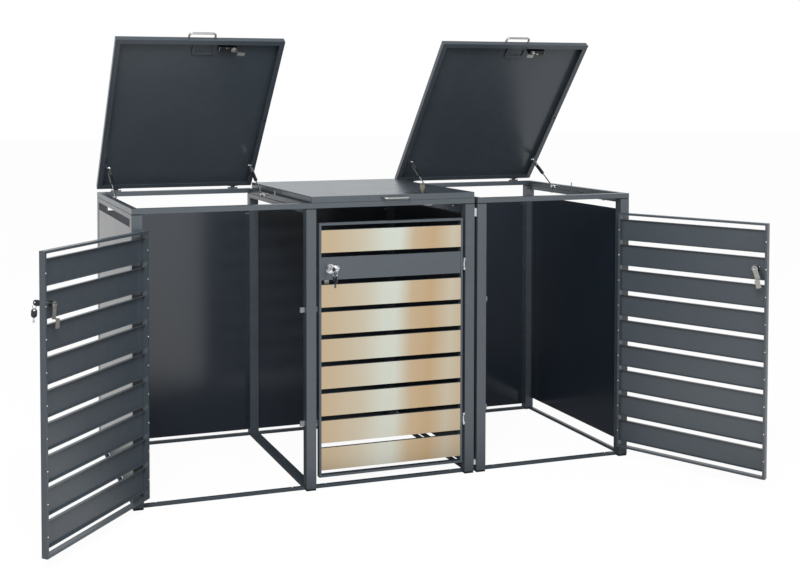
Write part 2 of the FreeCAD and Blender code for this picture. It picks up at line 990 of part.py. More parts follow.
hinge_pins = []
door_stops = []
for bay in BAYS:
    side = DOOR_SIDE[bay]
    mirrored = side < 0
    door_width = f"({bay}_bay_width - 2 * door_gap)"
    where = door_placement(bay)
    lock_along = lock_x(door_width, mirrored)
    node(f"door_frame_{bay}", [door_frame(bay, door_width, mirrored)], where)
    node(f"door_slats_{bay}", [slats(bay, door_width, mirrored)], where)
    node(f"door_facings_{bay}", facings(bay, door_width, mirrored), where)
    node(f"door_lock_body_{bay}", [door_lock_body(bay, lock_along)], where)
    node(f"door_lock_cam_{bay}", [door_cam(bay, lock_along, side)], where)
    node(f"door_lock_keys_{bay}", [door_keys(bay, lock_along, side)], where)

    post_side = f"{bay}_bay_start + {bay}_bay_width" if mirrored else f"{bay}_bay_start"
    hinge_x = f"{post_side} - door_reach" if mirrored else f"{post_side} + door_reach"
    for level in ("upper", "lower"):
        height = f"{level}_hinge_height"
        half = "(hinge_door_knuckle / 2 + hinge_end_play)"
        pieces = [
            cylinder(
                f"{bay}_{level}_pin",
                (hinge_x, "0", f"{height} - {half} - hinge_post_knuckle"),
                "hinge_pin_radius",
                f"2 * ({half} + hinge_post_knuckle)",
            )
        ]
        for end, low in (
            ("top", f"{height} + {half}"),
            ("foot", f"{height} - {half} - hinge_post_knuckle"),
        ):
            pieces.append(
                cylinder(
                    f"{bay}_{level}_{end}_knuckle",
                    (hinge_x, "0", low),
                    "hinge_knuckle_radius",
                    "hinge_post_knuckle",
                )
            )
            pieces.append(
                box(
                    f"{bay}_{level}_{end}_tab",
                    (hinge_x if mirrored else post_side, "0", low),
                    ("door_reach", "hinge_tab", "hinge_post_knuckle"),
                )
            )
        hinge_pins.append(fuse(f"{bay}_{level}_hinge_pin", pieces))

        free_side = f"{bay}_bay_start"
        if not mirrored:
            free_side = f"{bay}_bay_start + {bay}_bay_width - stop_width"
        stop_corner = (
            free_side,
            "door_depth - door_proud + stop_clearance",
            f"{level}_stop_height - stop_height / 2",
        )
        stop_extent = ("stop_width", "stop_depth", "stop_height")
        door_stops.append(box(f"{bay}_{level}_stop", stop_corner, stop_extent))
node("door_hinge_pins", hinge_pins)
node("door_stops", door_stops)

# Lids. Each is worked out closed, with its hinge axis along X through the origin, and
# is then turned open about that axis.

derive("lid_front", "0 - pivot_back")
derive("lid_back", "0 - lid_hinge_setback")
derive("lid_depth", "depth")
derive("lid_top", "lid_rim_gap + lid_height")
derive("plate_underside", "lid_top - lid_sheet")


def lid_placement(bay):
    """The turn and shift that put a lid on its hinge axis at its open angle."""
    return place(f"{bay}_lid_start", "pivot_back", "frame_top", "1; 0; 0", f"0 - {bay}_lid_angle")


def rounded_block(name, base, radius):
    """Round a block's upright and top edges."""
    document.recompute()
    top = base.Shape.BoundBox.ZMax
    picked = []
    for number, edge in enumerate(base.Shape.Edges, 1):
        heights = [vertex.Point.z for vertex in edge.Vertexes]
        upright = abs(heights[0] - heights[-1]) > radius
        if upright or min(heights) > top - radius:
            picked.append((number, radius, radius))
    fillet = document.addObject("Part::Fillet", name)
    fillet.Base = base
    fillet.Edges = picked
    return fillet


def lid_tray(bay, width, lock_x):
    """A shallow tray of folded sheet, open underneath inside its returned lips."""
    block = box(
        f"{bay}_lid_block",
        ("0", "lid_front", "lid_rim_gap"),
        (width, "lid_depth", "lid_height"),
    )
    outer = rounded_block(f"{bay}_lid_outer", block, SIZES["lid_corner"])
    cavity = box(
        f"{bay}_lid_cavity",
        ("lid_sheet", "lid_front + lid_sheet", "lid_rim_gap + lid_sheet"),
        (
            f"{width} - 2 * lid_sheet",
            "lid_depth - 2 * lid_sheet",
            "lid_height - 2 * lid_sheet",
        ),
    )
    mouth = box(
        f"{bay}_lid_mouth",
        ("lid_lip", "lid_front + lid_lip", "lid_rim_gap - overshoot"),
        (f"{width} - 2 * lid_lip", "lid_depth - 2 * lid_lip", "lid_height / 2"),
    )
    pin_hole = cylinder(
        f"{bay}_lid_pin_hole",
        (
            f"{width} - rest_pin_inset",
            "lid_front + rest_pin_setback",
            "lid_rim_gap - overshoot",
        ),
        "rest_pin_radius + rest_pin_clearance",
        "lid_height / 2",
    )
    plug_hole = cylinder(
        f"{bay}_lid_plug_hole",
        (lock_x, "lid_front + lid_lock_setback", "plate_underside - overshoot"),
        "lid_neck_radius",
        "lid_sheet + 2 * overshoot",
    )
    hollow = fuse(f"{bay}_lid_hollow", [cavity, mouth, pin_hole])
    inside = group(f"{bay}_lid_inside", [hollow, plug_hole])
    return cut(f"{bay}_lid_tray", outer, inside)


def lid_leaf(name, middle):
    """The moving half of a lid hinge: a leaf on the lid's back with one knuckle."""
    ear_start = f"{middle} - lid_hinge_middle / 2"
    pieces = [
        box(
            f"{name}_plate",
            (f"{middle} - lid_hinge_length / 2", "lid_back", "lid_rim_gap + lid_leaf_lift"),
            ("lid_hinge_length", "lid_leaf_sheet", "lid_leaf_height"),
        ),
        box(
            f"{name}_ear",
            (ear_start, "lid_back", "lid_rim_gap + lid_leaf_lift"),
            ("lid_hinge_middle", "lid_hinge_setback", "lid_ear_height"),
        ),
        cylinder(f"{name}_knuckle", (ear_start, "0", "0"), "lid_hinge_radius", "lid_hinge_middle", "X"),
    ]
    bore = cylinder(
        f"{name}_bore",
        (f"{ear_start} - overshoot", "0", "0"),
        "lid_pin_radius + hinge_clearance",
        "lid_hinge_middle + 2 * overshoot",
        "X",
    )
    return cut(f"{name}_leaf", fuse(f"{name}_solid", pieces), bore)


def frame_leaf(name, middle):
    """The fixed half of a lid hinge: a leaf on the back rail, two knuckles and the pin."""
    low_x = f"{middle} - lid_hinge_length / 2"
    ear_length = "((lid_hinge_length - lid_hinge_middle) / 2 - hinge_end_play)"
    pieces = [
        box(
            f"{name}_plate",
            (low_x, "depth", "frame_top - frame_leaf_drop - frame_leaf_height"),
            ("lid_hinge_length", "frame_leaf_sheet", "frame_leaf_height"),
        ),
        cylinder(
            f"{name}_pin",
            (low_x, "pivot_back", "frame_top"),
            "lid_pin_radius",
            "lid_hinge_length",
            "X",
        ),
    ]
    high_x = f"{middle} + lid_hinge_length / 2 - {ear_length}"
    for end, x in (("low", low_x), ("high", high_x)):
        pieces.append(
            box(
                f"{name}_{end}_ear",
                (x, "depth", "frame_top - lid_hinge_radius"),
                (ear_length, "lid_hinge_setback", "lid_ear_height"),
            )
        )
        pieces.append(
            cylinder(
                f"{name}_{end}_knuckle",
                (x, "pivot_back", "frame_top"),
                "lid_hinge_radius",
                ear_length,
                "X",
            )
        )
    return fuse(f"{name}_bracket", pieces)


def bend(name, x, turn):
    """A quarter turn of the handle's bar, from the grip into one leg."""
    corner = document.addObject("Part::Torus", name)
    corner.setExpression("Radius1", bound("handle_bend"))
    corner.setExpression("Radius2", bound("handle_radius"))
    corner.Angle3 = 90
    y = "lid_front - handle_reach + handle_radius + handle_bend"
    corner.setExpression("Placement", place(x, y, "lid_rim_gap + lid_height / 2", angle=turn))
    return corner


def handle(bay, middle):
    """A round bar bent into a bow that stands out from the lid's front edge."""
    height = "lid_rim_gap + lid_height / 2"
    half = "(handle_length / 2 - handle_radius)"
    grip_y = "lid_front - handle_reach + handle_radius"
    pieces = [
        cylinder(
            f"{bay}_handle_grip",
            (f"{middle} - {half} + handle_bend", grip_y, height),
            "handle_radius",
            f"2 * ({half} - handle_bend)",
            "X",
        ),
        bend(f"{bay}_handle_bend_high", f"{middle} + {half} - handle_bend", "-90"),
        bend(f"{bay}_handle_bend_low", f"{middle} - {half} + handle_bend", "180"),
    ]
    for end, sign in (("low", "-"), ("high", "+")):
        pieces.append(
            cylinder(
                f"{bay}_handle_leg_{end}",
                (f"{middle} {sign} {half}", f"{grip_y} + handle_bend", height),
                "handle_radius",
                "handle_reach - handle_radius - handle_bend",
                "Y",
            )
        )
    return fuse(f"{bay}_handle", pieces)


def handle_plate(bay, middle):
    """The shallow backing frame under the lid's plate behind the handle."""
    plate_front = "lid_front + lid_lip + handle_plate_setback"
    block = box(
        f"{bay}_handle_plate_block",
        (
            f"{middle} + handle_plate_shift - handle_plate_length / 2",
            plate_front,
            "plate_underside - handle_plate_height",
        ),
        ("handle_plate_length", "handle_plate_depth", "handle_plate_height"),
    )
    window = box(
        f"{bay}_handle_plate_window",
        (
            f"{middle} + handle_plate_shift - handle_window_length / 2",
            f"{plate_front} + (handle_plate_depth - handle_window_depth) / 2",
            "plate_underside - handle_plate_height - overshoot",
        ),
        (
            "handle_window_length",
            "handle_window_depth",
            "handle_plate_height + overshoot - handle_plate_floor",
        ),
    )
    return cut(f"{bay}_handle_plate", block, window)


def lid_lock_body(bay, middle, lock_x):
    """The lock's housing under the plate with its flat cover on top of the lid."""
    lock_y = "(lid_front + lid_lock_setback)"
    housing = box(
        f"{bay}_lid_housing",
        (
            f"{middle} - lid_lock_width / 2",
            f"{lock_y} - lid_lock_depth / 2",
            "plate_underside - lid_lock_height",
        ),
        ("lid_lock_width", "lid_lock_depth", "lid_lock_height"),
    )
    neck = cylinder(
        f"{bay}_lid_lock_neck",
        (lock_x, lock_y, "plate_underside - lid_sheet"),
        "lid_neck_radius",
        "2 * lid_sheet + cover_sheet",
    )
    cover = box(
        f"{bay}_lid_cover",
        (f"{middle} - cover_width / 2", f"{lock_y} - cover_depth / 2", "lid_top"),
        ("cover_width", "cover_depth", "cover_sheet"),
    )
    bore = cylinder(
        f"{bay}_lid_plug_bore",
        (lock_x, lock_y, "plate_underside - lid_lock_height - overshoot"),
        "plug_radius + plug_clearance",
        "lid_lock_height + lid_sheet + cover_sheet + 2 * overshoot",
    )
    whole = fuse(f"{bay}_lid_lock_whole", [housing, neck, cover])
    return cut(f"{bay}_lid_lock_bored", whole, bore)


def lid_lock_turn(bay):
    """How far each lid's cam is turned from pointing at the front."""
    sense = {"left": 1, "middle": 1, "right": -1}[bay]
    return f"{sense} * {bay}_lid_cam_turn"


def lid_cam(bay, x):
    """The plug with its cranked cam, which points at the lid's front when locked."""
    cam_top = "lid_top - lid_cam_drop"
    half = "0 - lid_cam_width / 2"
    pieces = [
        cylinder(
            f"{bay}_lid_plug",
            ("0", "0", f"{cam_top} - cam_sheet"),
            "plug_radius",
            "lid_cam_drop + cam_sheet + cover_sheet + plug_proud",
        ),
        cylinder(
            f"{bay}_lid_cam_boss",
            ("0", "0", f"{cam_top} - cam_sheet"),
            "cam_boss_radius",
            "cam_sheet",
        ),
        box(
            f"{bay}_lid_cam_near",
            (half, "0 - lid_cam_knee", f"{cam_top} - cam_sheet"),
            ("lid_cam_width", "lid_cam_knee", "cam_sheet"),
        ),
        box(
            f"{bay}_lid_cam_step",
            (half, "0 - lid_cam_knee", f"{cam_top} - cam_sheet - lid_cam_crank"),
            ("lid_cam_width", "cam_sheet", "lid_cam_crank + cam_sheet"),
        ),
        box(
            f"{bay}_lid_cam_far",
            (half, "0 - lid_cam_length", f"{cam_top} - cam_sheet - lid_cam_crank"),
            ("lid_cam_width", "lid_cam_length - lid_cam_knee + cam_sheet", "cam_sheet"),
        ),
        cylinder(
            f"{bay}_lid_cam_nut",
            ("0", "0", f"{cam_top} - cam_sheet - cam_bolt_head"),
            "cam_bolt_radius",
            "cam_bolt_head",
        ),
    ]
    cam = fuse(f"{bay}_lid_cam", pieces)
    turned = place(x, "lid_front + lid_lock_setback", "0", angle=lid_lock_turn(bay))
    return group(f"{bay}_lid_cam_turned", [cam], turned)


def lid_key(bay, x):
    """The key that stands in the lid's lock."""
    plug_top = "lid_top + cover_sheet + plug_proud"
    upright = group(
        f"{bay}_lid_key_upright",
        [key(f"{bay}_lid_key", "lid_key_shank")],
        place("0", "0", "0", "1; 0; 0", "90"),
    )
    hole_z = f"{plug_top} + lid_key_shank + key_bow_radius + key_bow_straight + key_hole_offset"
    return group(
        f"{bay}_lid_key_turned",
        [upright],
        place(x, "lid_front + lid_lock_setback", hole_z, angle=lid_lock_turn(bay)),
    )


def lid_bracket(name, face, side):
    """A plate that hangs from the lid's lip with the stud for the strut's eye."""
    flip = side < 0
    stud_length = "strut_side_gap + strut_eye_width / 2 - bracket_gap"
    plate = box(
        f"{name}_plate",
        (
            "bracket_gap - bracket_sheet",
            "0 - lid_bracket_length / 2",
            "0 - stud_radius - bracket_sheet",
        ),
        ("bracket_sheet", "lid_bracket_length", "strut_below_rim + stud_radius + bracket_sheet"),
        flip,
    )
    foot = box(
        f"{name}_foot",
        (
            "bracket_gap - bracket_sheet - bracket_foot",
            "0 - lid_bracket_length / 2",
            "strut_below_rim + lid_sheet",
        ),
        ("bracket_foot + bracket_sheet", "lid_bracket_length", "bracket_sheet"),
        flip,
    )
    riser = box(
        f"{name}_riser",
        (
            "bracket_gap - bracket_sheet",
            "0 - lid_bracket_length / 2",
            "strut_below_rim - bracket_sheet",
        ),
        ("bracket_sheet", "lid_bracket_length", "lid_sheet + 2 * bracket_sheet"),
        flip,
    )
    stud_start = f"0 - bracket_gap - ({stud_length})" if flip else "bracket_gap"
    stud = cylinder(f"{name}_stud", (stud_start, "0", "0"), "stud_radius", stud_length, "X")
    bracket = fuse(f"{name}_bracket", [plate, foot, riser, stud])
    where = place(face, "0 - strut_from_pivot", "lid_rim_gap - strut_below_rim")
    bracket.setExpression("Placement", where)
    return bracket


# A lid bracket's plate stands this far inside the rail's inner face, and its foot
# reaches back over the lip.
derive("bracket_gap", "bracket_sheet + lid_gap + bracket_clearance")
derive("bracket_foot", "bracket_gap - bracket_sheet + top_rail_width - lid_lip + bracket_grip")

# Where a strut's lid end is in the room, and the way from there to its foot
derive("strut_foot_height", "frame_top - strut_foot_drop")
derive("strut_foot_place", "pivot_back - strut_foot_reach")
for bay in BAYS:
    angle = f"{bay}_lid_angle"
    reach = f"strut_from_pivot * cos({angle})"
    rise = f"strut_from_pivot * sin({angle})"
    drop = "(strut_below_rim - lid_rim_gap)"
    derive(f"{bay}_stud_y", f"pivot_back - {reach} - {drop} * sin({angle})")
    derive(f"{bay}_stud_z", f"frame_top + {rise} - {drop} * cos({angle})")
    derive(f"{bay}_strut_dy", f"strut_foot_place - {bay}_stud_y")
    derive(f"{bay}_strut_dz", f"strut_foot_height - {bay}_stud_z")
    derive(f"{bay}_strut_length", f"sqrt({bay}_strut_dy ^ 2 + {bay}_strut_dz ^ 2)")
    derive(f"{bay}_strut_angle", f"atan2({bay}_strut_dz; {bay}_strut_dy)")


def strut_cylinder(name, x):
    """An eye on the lid's stud, a neck and the pressure tube, along Y."""
    eye_start = f"{x} - strut_eye_width / 2"
    eye = cylinder(f"{name}_eye", (eye_start, "0", "0"), "strut_eye_radius", "strut_eye_width", "X")
    neck = cylinder(
        f"{name}_neck",
        (x, "stud_radius + strut_clearance", "0"),
        "strut_neck_radius",
        "strut_tube_start",
        "Y",
    )
    tube = cylinder(
        f"{name}_tube",
        (x, "strut_tube_start", "0"),
        "strut_radius",
        "strut_tube_end - strut_tube_start",
        "Y",
    )
    eye_bore = cylinder(
        f"{name}_eye_bore",
        (f"{eye_start} - overshoot", "0", "0"),
        "stud_radius + strut_clearance",
        "strut_eye_width + 2 * overshoot",
        "X",
    )
    rod_bore = cylinder(
        f"{name}_rod_bore",
        (x, "strut_tube_start + tube_wall", "0"),
        "strut_rod_radius + strut_clearance",
        "strut_tube_end",
        "Y",
    )
    whole = fuse(f"{name}_whole", [eye, neck, tube])
    return cut(f"{name}_cylinder", whole, group(f"{name}_bores", [eye_bore, rod_bore]))


def strut_rod(name, x, length):
    """The rod with the socket at its foot, pushed into the tube along Y."""
    socket_start = f"{x} - strut_eye_width / 2"
    rod = cylinder(
        f"{name}_bar",
        (x, f"{length} - strut_rod_length", "0"),
        "strut_rod_radius",
        "strut_rod_length",
        "Y",
    )
    socket = cylinder(
        f"{name}_socket",
        (socket_start, length, "0"),
        "strut_eye_radius",
        "strut_eye_width",
        "X",
    )
    return fuse(f"{name}_rod", [rod, socket])


def strut_foot(name, face, side):
    """A bracket plate on the rail's inner face with a ball that points at the socket."""
    flip = side < 0
    plate = box(
        f"{name}_plate",
        ("0", "0 - bracket_length / 2", "0 - bracket_height / 2"),
        ("bracket_sheet", "bracket_length", "bracket_height"),
        flip,
    )
    reach = "(strut_side_gap - strut_eye_width / 2 - stud_gap - bracket_sheet)"
    stud_start = f"0 - bracket_sheet - {reach}" if flip else "bracket_sheet"
    stud = cylinder(f"{name}_stud", (stud_start, "0", "0"), "stud_ball_radius", reach, "X")
    foot = fuse(f"{name}_foot", [plate, stud])
    foot.setExpression("Placement", place(face, "strut_foot_place", "strut_foot_height"))
    return foot


hinge_brackets = []
strut_brackets = []
rest_pins = []
for bay in BAYS:
    width = f"{bay}_lid_width"
    middle = f"{width} / 2"
    housing_middle = f"{middle} + lid_lock_offset"
    lock_across = f"{housing_middle} + {bay}_lock_shift"
    where = lid_placement(bay)
    fittings = [handle_plate(bay, middle)]
    cylinders = []
    rods = []
    for end, side in (("low", 1), ("high", -1)):
        leaf_middle = "lid_hinge_inset" if side > 0 else f"{width} - lid_hinge_inset"
        fittings.append(lid_leaf(f"{bay}_lid_hinge_{end}", leaf_middle))
        hinge_brackets.append(
            frame_leaf(f"{bay}_frame_hinge_{end}", f"{bay}_lid_start + {leaf_middle}")
        )
        rail_face = f"{bay}_mouth_start" if side > 0 else f"{bay}_mouth_end"
        strut_x = f"{rail_face} + {side} * strut_side_gap"
        fittings.append(
            lid_bracket(f"{bay}_lid_bracket_{end}", f"{rail_face} - {bay}_lid_start", side)
        )
        cylinders.append(strut_cylinder(f"{bay}_strut_{end}", strut_x))
        rods.append(strut_rod(f"{bay}_strut_{end}", strut_x, f"{bay}_strut_length"))
        strut_brackets.append(strut_foot(f"{bay}_strut_foot_{end}", rail_face, side))
    rest_pins.append(
        cylinder(
            f"{bay}_rest_pin",
            (f"{bay}_lid_start + {width} - rest_pin_inset", "rest_pin_setback", "frame_top"),
            "rest_pin_radius",
            "rest_pin_height",
        )
    )
    node(f"lid_tray_{bay}", [lid_tray(bay, width, lock_across)], where)
    node(f"lid_fittings_{bay}", fittings, where)
    node(f"lid_handle_{bay}", [handle(bay, middle)], where)
    node(f"lid_lock_body_{bay}", [lid_lock_body(bay, housing_middle, lock_across)], where)
    node(f"lid_lock_cam_{bay}", [lid_cam(bay, lock_across)], where)
    node(f"lid_lock_key_{bay}", [lid_key(bay, lock_across)], where)
    along_strut = place("0", f"{bay}_stud_y", f"{bay}_stud_z", "1; 0; 0", f"{bay}_strut_angle")
    node(f"strut_cylinders_{bay}", cylinders, along_strut)
    node(f"strut_rods_{bay}", rods, along_strut)
node("lid_hinge_brackets", hinge_brackets)
node("strut_brackets", strut_brackets)
node("lid_rest_pins", rest_pins)

document.recompute()

for item in document.Objects:
    if "Invalid" in item.State or "Error" in item.State:
        raise RuntimeError(f"{item.Name} did not build: {item.State}")
os.makedirs("parts", exist_ok=True)
for name, part in nodes.items():
    shape = part.Shape
    if shape.isNull() or not shape.isValid():
        raise RuntimeError(f"{name} is not a sound shape")
    shape.exportStep(f"parts/{name}.step")
    print(name, len(shape.Solids), "solids", round(shape.Volume / 1000, 1), "cm3")
print(len(nodes), "nodes")
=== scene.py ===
# %% [markdown]
# # A steel wheelie bin store
# The store is folded and powder coated sheet steel: a wide unit with two bays and a
# narrow one with a third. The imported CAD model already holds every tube, panel, door,
# lid, lock and gas strut in the right place. This file loads it as a fixed frame, gives
# each piece its finish, and adds the small trim that a maker fits last.

# %% Load the frame
import json
import math

import bmesh
import bpy
import numpy as np
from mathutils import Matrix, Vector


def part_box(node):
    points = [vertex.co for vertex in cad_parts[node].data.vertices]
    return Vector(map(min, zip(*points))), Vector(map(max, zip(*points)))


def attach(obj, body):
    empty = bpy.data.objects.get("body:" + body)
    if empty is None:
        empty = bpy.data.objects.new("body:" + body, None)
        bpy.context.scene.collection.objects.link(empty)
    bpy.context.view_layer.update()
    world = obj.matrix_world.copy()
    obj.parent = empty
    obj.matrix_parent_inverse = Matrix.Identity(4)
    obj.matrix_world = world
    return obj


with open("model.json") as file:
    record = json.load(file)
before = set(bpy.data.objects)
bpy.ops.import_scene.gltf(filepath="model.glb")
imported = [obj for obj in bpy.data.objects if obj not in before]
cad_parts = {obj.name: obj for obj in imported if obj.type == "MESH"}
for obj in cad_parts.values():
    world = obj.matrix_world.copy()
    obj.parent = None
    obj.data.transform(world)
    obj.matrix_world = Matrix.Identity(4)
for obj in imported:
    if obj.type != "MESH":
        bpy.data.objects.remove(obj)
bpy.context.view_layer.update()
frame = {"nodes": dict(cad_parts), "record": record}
record = frame["record"]
MM = 0.001
UP = np.array([0.0, 0.0, 1.0])
RIGHT = np.array([1.0, 0.0, 0.0])

# %% [markdown]
# ## Shader maths as Python
# A finish is a small graph of nodes. Writing it node by node is long and hard to read,
# so one class wraps a node's output and lets it be added and multiplied like a number,
# and one method makes any other node. The same line then says what the finish does.

# %% A value that varies over a surface


class Field:
    """A node's output that takes + - * like a number. Each sign adds a Math node."""

    def __init__(self, graph, socket):
        self.graph = graph
        self.socket = socket

    def maths(self, operation, first, second):
        return self.graph.node("ShaderNodeMath", {0: first, 1: second}, operation=operation)

    def __add__(self, other):
        return self.maths("ADD", self, other)

    def __sub__(self, other):
        return self.maths("SUBTRACT", self, other)

    def __rsub__(self, other):
        return self.maths("SUBTRACT", other, self)

    def __mul__(self, other):
        return self.maths("MULTIPLY", self, other)

    __radd__ = __add__
    __rmul__ = __mul__


# %% A node tree that makes its own nodes


class Graph:
    """An empty node tree on a world or a material, and a method that makes any node."""

    def __init__(self, block):
        block.use_nodes = True
        self.tree = block.node_tree
        self.tree.nodes.clear()

    def node(self, kind, values=None, output=0, stops=None, **settings):
        """Make a node: its settings first, then the values or links of its sockets."""
        made = self.tree.nodes.new(kind)
        for setting, value in settings.items():
            setattr(made, setting, value)
        if stops:
            ramp = made.color_ramp
            while len(ramp.elements) < len(stops):
                ramp.elements.new(0.5)
            for element, (place, colour) in zip(ramp.elements, stops):
                element.position = place
                element.color = (*colour, 1.0)
        for key, value in (values or {}).items():
            if isinstance(value, Field):
                self.tree.links.new(value.socket, made.inputs[key])
            else:
                made.inputs[key].default_value = value
        return Field(self, made.outputs[output]) if made.outputs else None

    def point(self):
        """Where the surface is on the piece itself, in metres."""
        return self.node("ShaderNodeTexCoord", output=3)


# %% The tree of one finish


class Finish(Graph):
    """A material with one Principled shader, whose sockets are set or fed."""

    def __init__(self, name, metallic=0.0, **plain):
        self.material = bpy.data.materials.new(name)
        super().__init__(self.material)
        values = {socket.replace("_", " "): value for socket, value in plain.items()}
        surface = self.node("ShaderNodeBsdfPrincipled", {"Metallic": metallic, **values})
        self.node("ShaderNodeOutputMaterial", {"Surface": surface})
        self.shader = surface.socket.node

    def feed(self, socket, field):
        """Link a field to one socket of the shader."""
        self.tree.links.new(field.socket, self.shader.inputs[socket])

    def noise(self, point, scale, detail, stretch=None):
        """Cloudy variation from 0 to 1, with about scale features in a metre."""
        if stretch:
            point = self.node("ShaderNodeMapping", {0: point, "Scale": stretch})
        values = {"Vector": point, "Scale": scale, "Detail": detail}
        return self.node("ShaderNodeTexNoise", values)

    def blend(self, factor, low, high):
        """A colour between two colours."""
        values = {0: factor, 6: (*low, 1.0), 7: (*high, 1.0)}
        return self.node("ShaderNodeMix", values, output=2, data_type="RGBA")

    def relief(self, height, depth, edge):
        """Surface relief of that depth in metres, on edges rounded by that radius."""
        rounded = self.node("ShaderNodeBevel", {"Radius": edge}, samples=4)
        values = {"Height": height, "Strength": 1.0, "Distance": depth, "Normal": rounded}
        self.feed("Normal", self.node("ShaderNodeBump", values))


print("shader helpers ready")

# %% [markdown]
# ## Powder coat
# The steel is powder coated in anthracite, a blue grey. Powder flows out into a satin
# skin that is never quite flat: it has a fine orange peel about 1 mm across, and its
# gloss changes a little where it was baked thicker. The corners of folded sheet are
# round, which draws the thin light line along every edge, so the shader rounds them by
# about a millimetre. The side and back panels close the bays and look nearly black in
# their shade, so that shade is painted into their colour: their coat is about a third as
# bright as the tubes' and slightly smoother.

# %% Powder coat on folded steel
COAT_LOW = (0.030, 0.038, 0.046)
COAT_HIGH = (0.038, 0.048, 0.058)
PANEL_SHADE_LOW = (0.0088, 0.0125, 0.018)
PANEL_SHADE_HIGH = (0.0128, 0.018, 0.026)
STRUT_LOW = (0.006, 0.006, 0.007)
STRUT_HIGH = (0.010, 0.010, 0.011)
DRIFT_SCALE, PEEL_SCALE, SPECK_SCALE = 5.0, 900.0, 3200.0
DRIFT_TONE, SPECK_TONE = 0.7, 0.3
DRIFT_ROUGH, SPECK_ROUGH = 0.08, 0.06
PEEL_DEPTH = 0.00002
SHEET_EDGE, CYLINDER_EDGE = 0.0012, 0.0005


def powder_coat(name, low, high, rough, edge):
    """Satin paint: a slow drift of colour and gloss, orange peel and soft corners."""
    finish = Finish(name, IOR=1.5, Specular_IOR_Level=0.5)
    point = finish.point()
    drift = finish.noise(point, DRIFT_SCALE, 3.0)
    peel = finish.noise(point, PEEL_SCALE, 1.0)
    speck = finish.noise(point, SPECK_SCALE, 1.0)
    tone = drift * DRIFT_TONE + speck * SPECK_TONE
    finish.feed("Base Color", finish.blend(tone, low, high))
    least = rough - (DRIFT_ROUGH + SPECK_ROUGH) / 2
    finish.feed("Roughness", drift * DRIFT_ROUGH + speck * SPECK_ROUGH + least)
    finish.relief(peel, PEEL_DEPTH, edge)
    return finish.material


coated_steel = powder_coat(
    "anthracite_powder_coat", COAT_LOW, COAT_HIGH, rough=0.27, edge=SHEET_EDGE
)
# The panels' colour is the tubes' coat darkened as painted shade, with a lower roughness
panel_coat_with_painted_shade = powder_coat(
    "anthracite_panel_painted_shade", PANEL_SHADE_LOW, PANEL_SHADE_HIGH, rough=0.19, edge=SHEET_EDGE
)
black_steel = powder_coat(
    "black_strut_paint", STRUT_LOW, STRUT_HIGH, rough=0.22, edge=CYLINDER_EDGE
)
print("made", coated_steel.name, panel_coat_with_painted_shade.name, black_steel.name)

# %% [markdown]
# ## Brushed facings
# The slats' facings are thin stainless sheet with a warm tone, brushed along the slat.
# The brush leaves scratches hundreds of times longer than they are wide. They spread
# each reflection up and down, so the light bands that cross the door stand upright and
# line up from slat to slat. These bands are painted reflections drawn into the metal's
# colour: a curve along the door that leans a little, darker towards the ground as painted
# shade.

# %% A door's own directions
joints = {joint["name"]: joint for joint in record["behaviour"]["joints"]}


def door_side(bay):
    """1 where the door reaches to the right of its hinge when closed, otherwise -1."""
    return -joints[f"door_{bay}_swing"]["axis"][2]


def door_turn(bay):
    """The hinge's place and the door's own directions at rest, along it and through it."""
    joint = joints[f"door_{bay}_swing"]
    side = door_side(bay)
    angle = math.radians(side * joint["range_deg"][0])
    along = np.array([math.cos(angle), math.sin(angle), 0.0]) * side
    inward = np.array([-math.sin(angle), math.cos(angle), 0.0])
    return np.array(joint["pos_m"]), along, inward


for bay in ("left", "middle", "right"):
    print(bay, "door runs along", door_turn(bay)[1].round(3))

# %% Brushed stainless facing
# How bright the painted reflection is at each share of the door's width, from the hinge outwards
PAINTED_REFLECTION_BANDS = [
    (0.00, 0.34), (0.08, 0.50), (0.22, 0.04), (0.36, 0.20), (0.47, 1.00),
    (0.56, 0.96), (0.70, 0.56), (0.84, 0.34), (0.97, 0.20),
]
BAND_LEAN = 0.06
BAND_DRIFT = 0.06
PAINTED_GROUND_SHADE = 0.15
WARM_METAL = (0.350, 0.243, 0.136)
PAINTED_REFLECTION_TONE = (0.418, 0.441, 0.394)
SLOW_SCALE, SLOW_STRETCH = 7.0, (1.0, 0.0, 0.35)
SCRATCH_SCALE, SCRATCH_STRETCH = 70.0, (0.10, 1.0, 24.0)
SCRATCH_TONE, SCRATCH_ROUGH, LEAST_ROUGH = 0.22, 0.12, 0.33
SCRATCH_DEPTH, FACING_EDGE = 0.00003, 0.0006


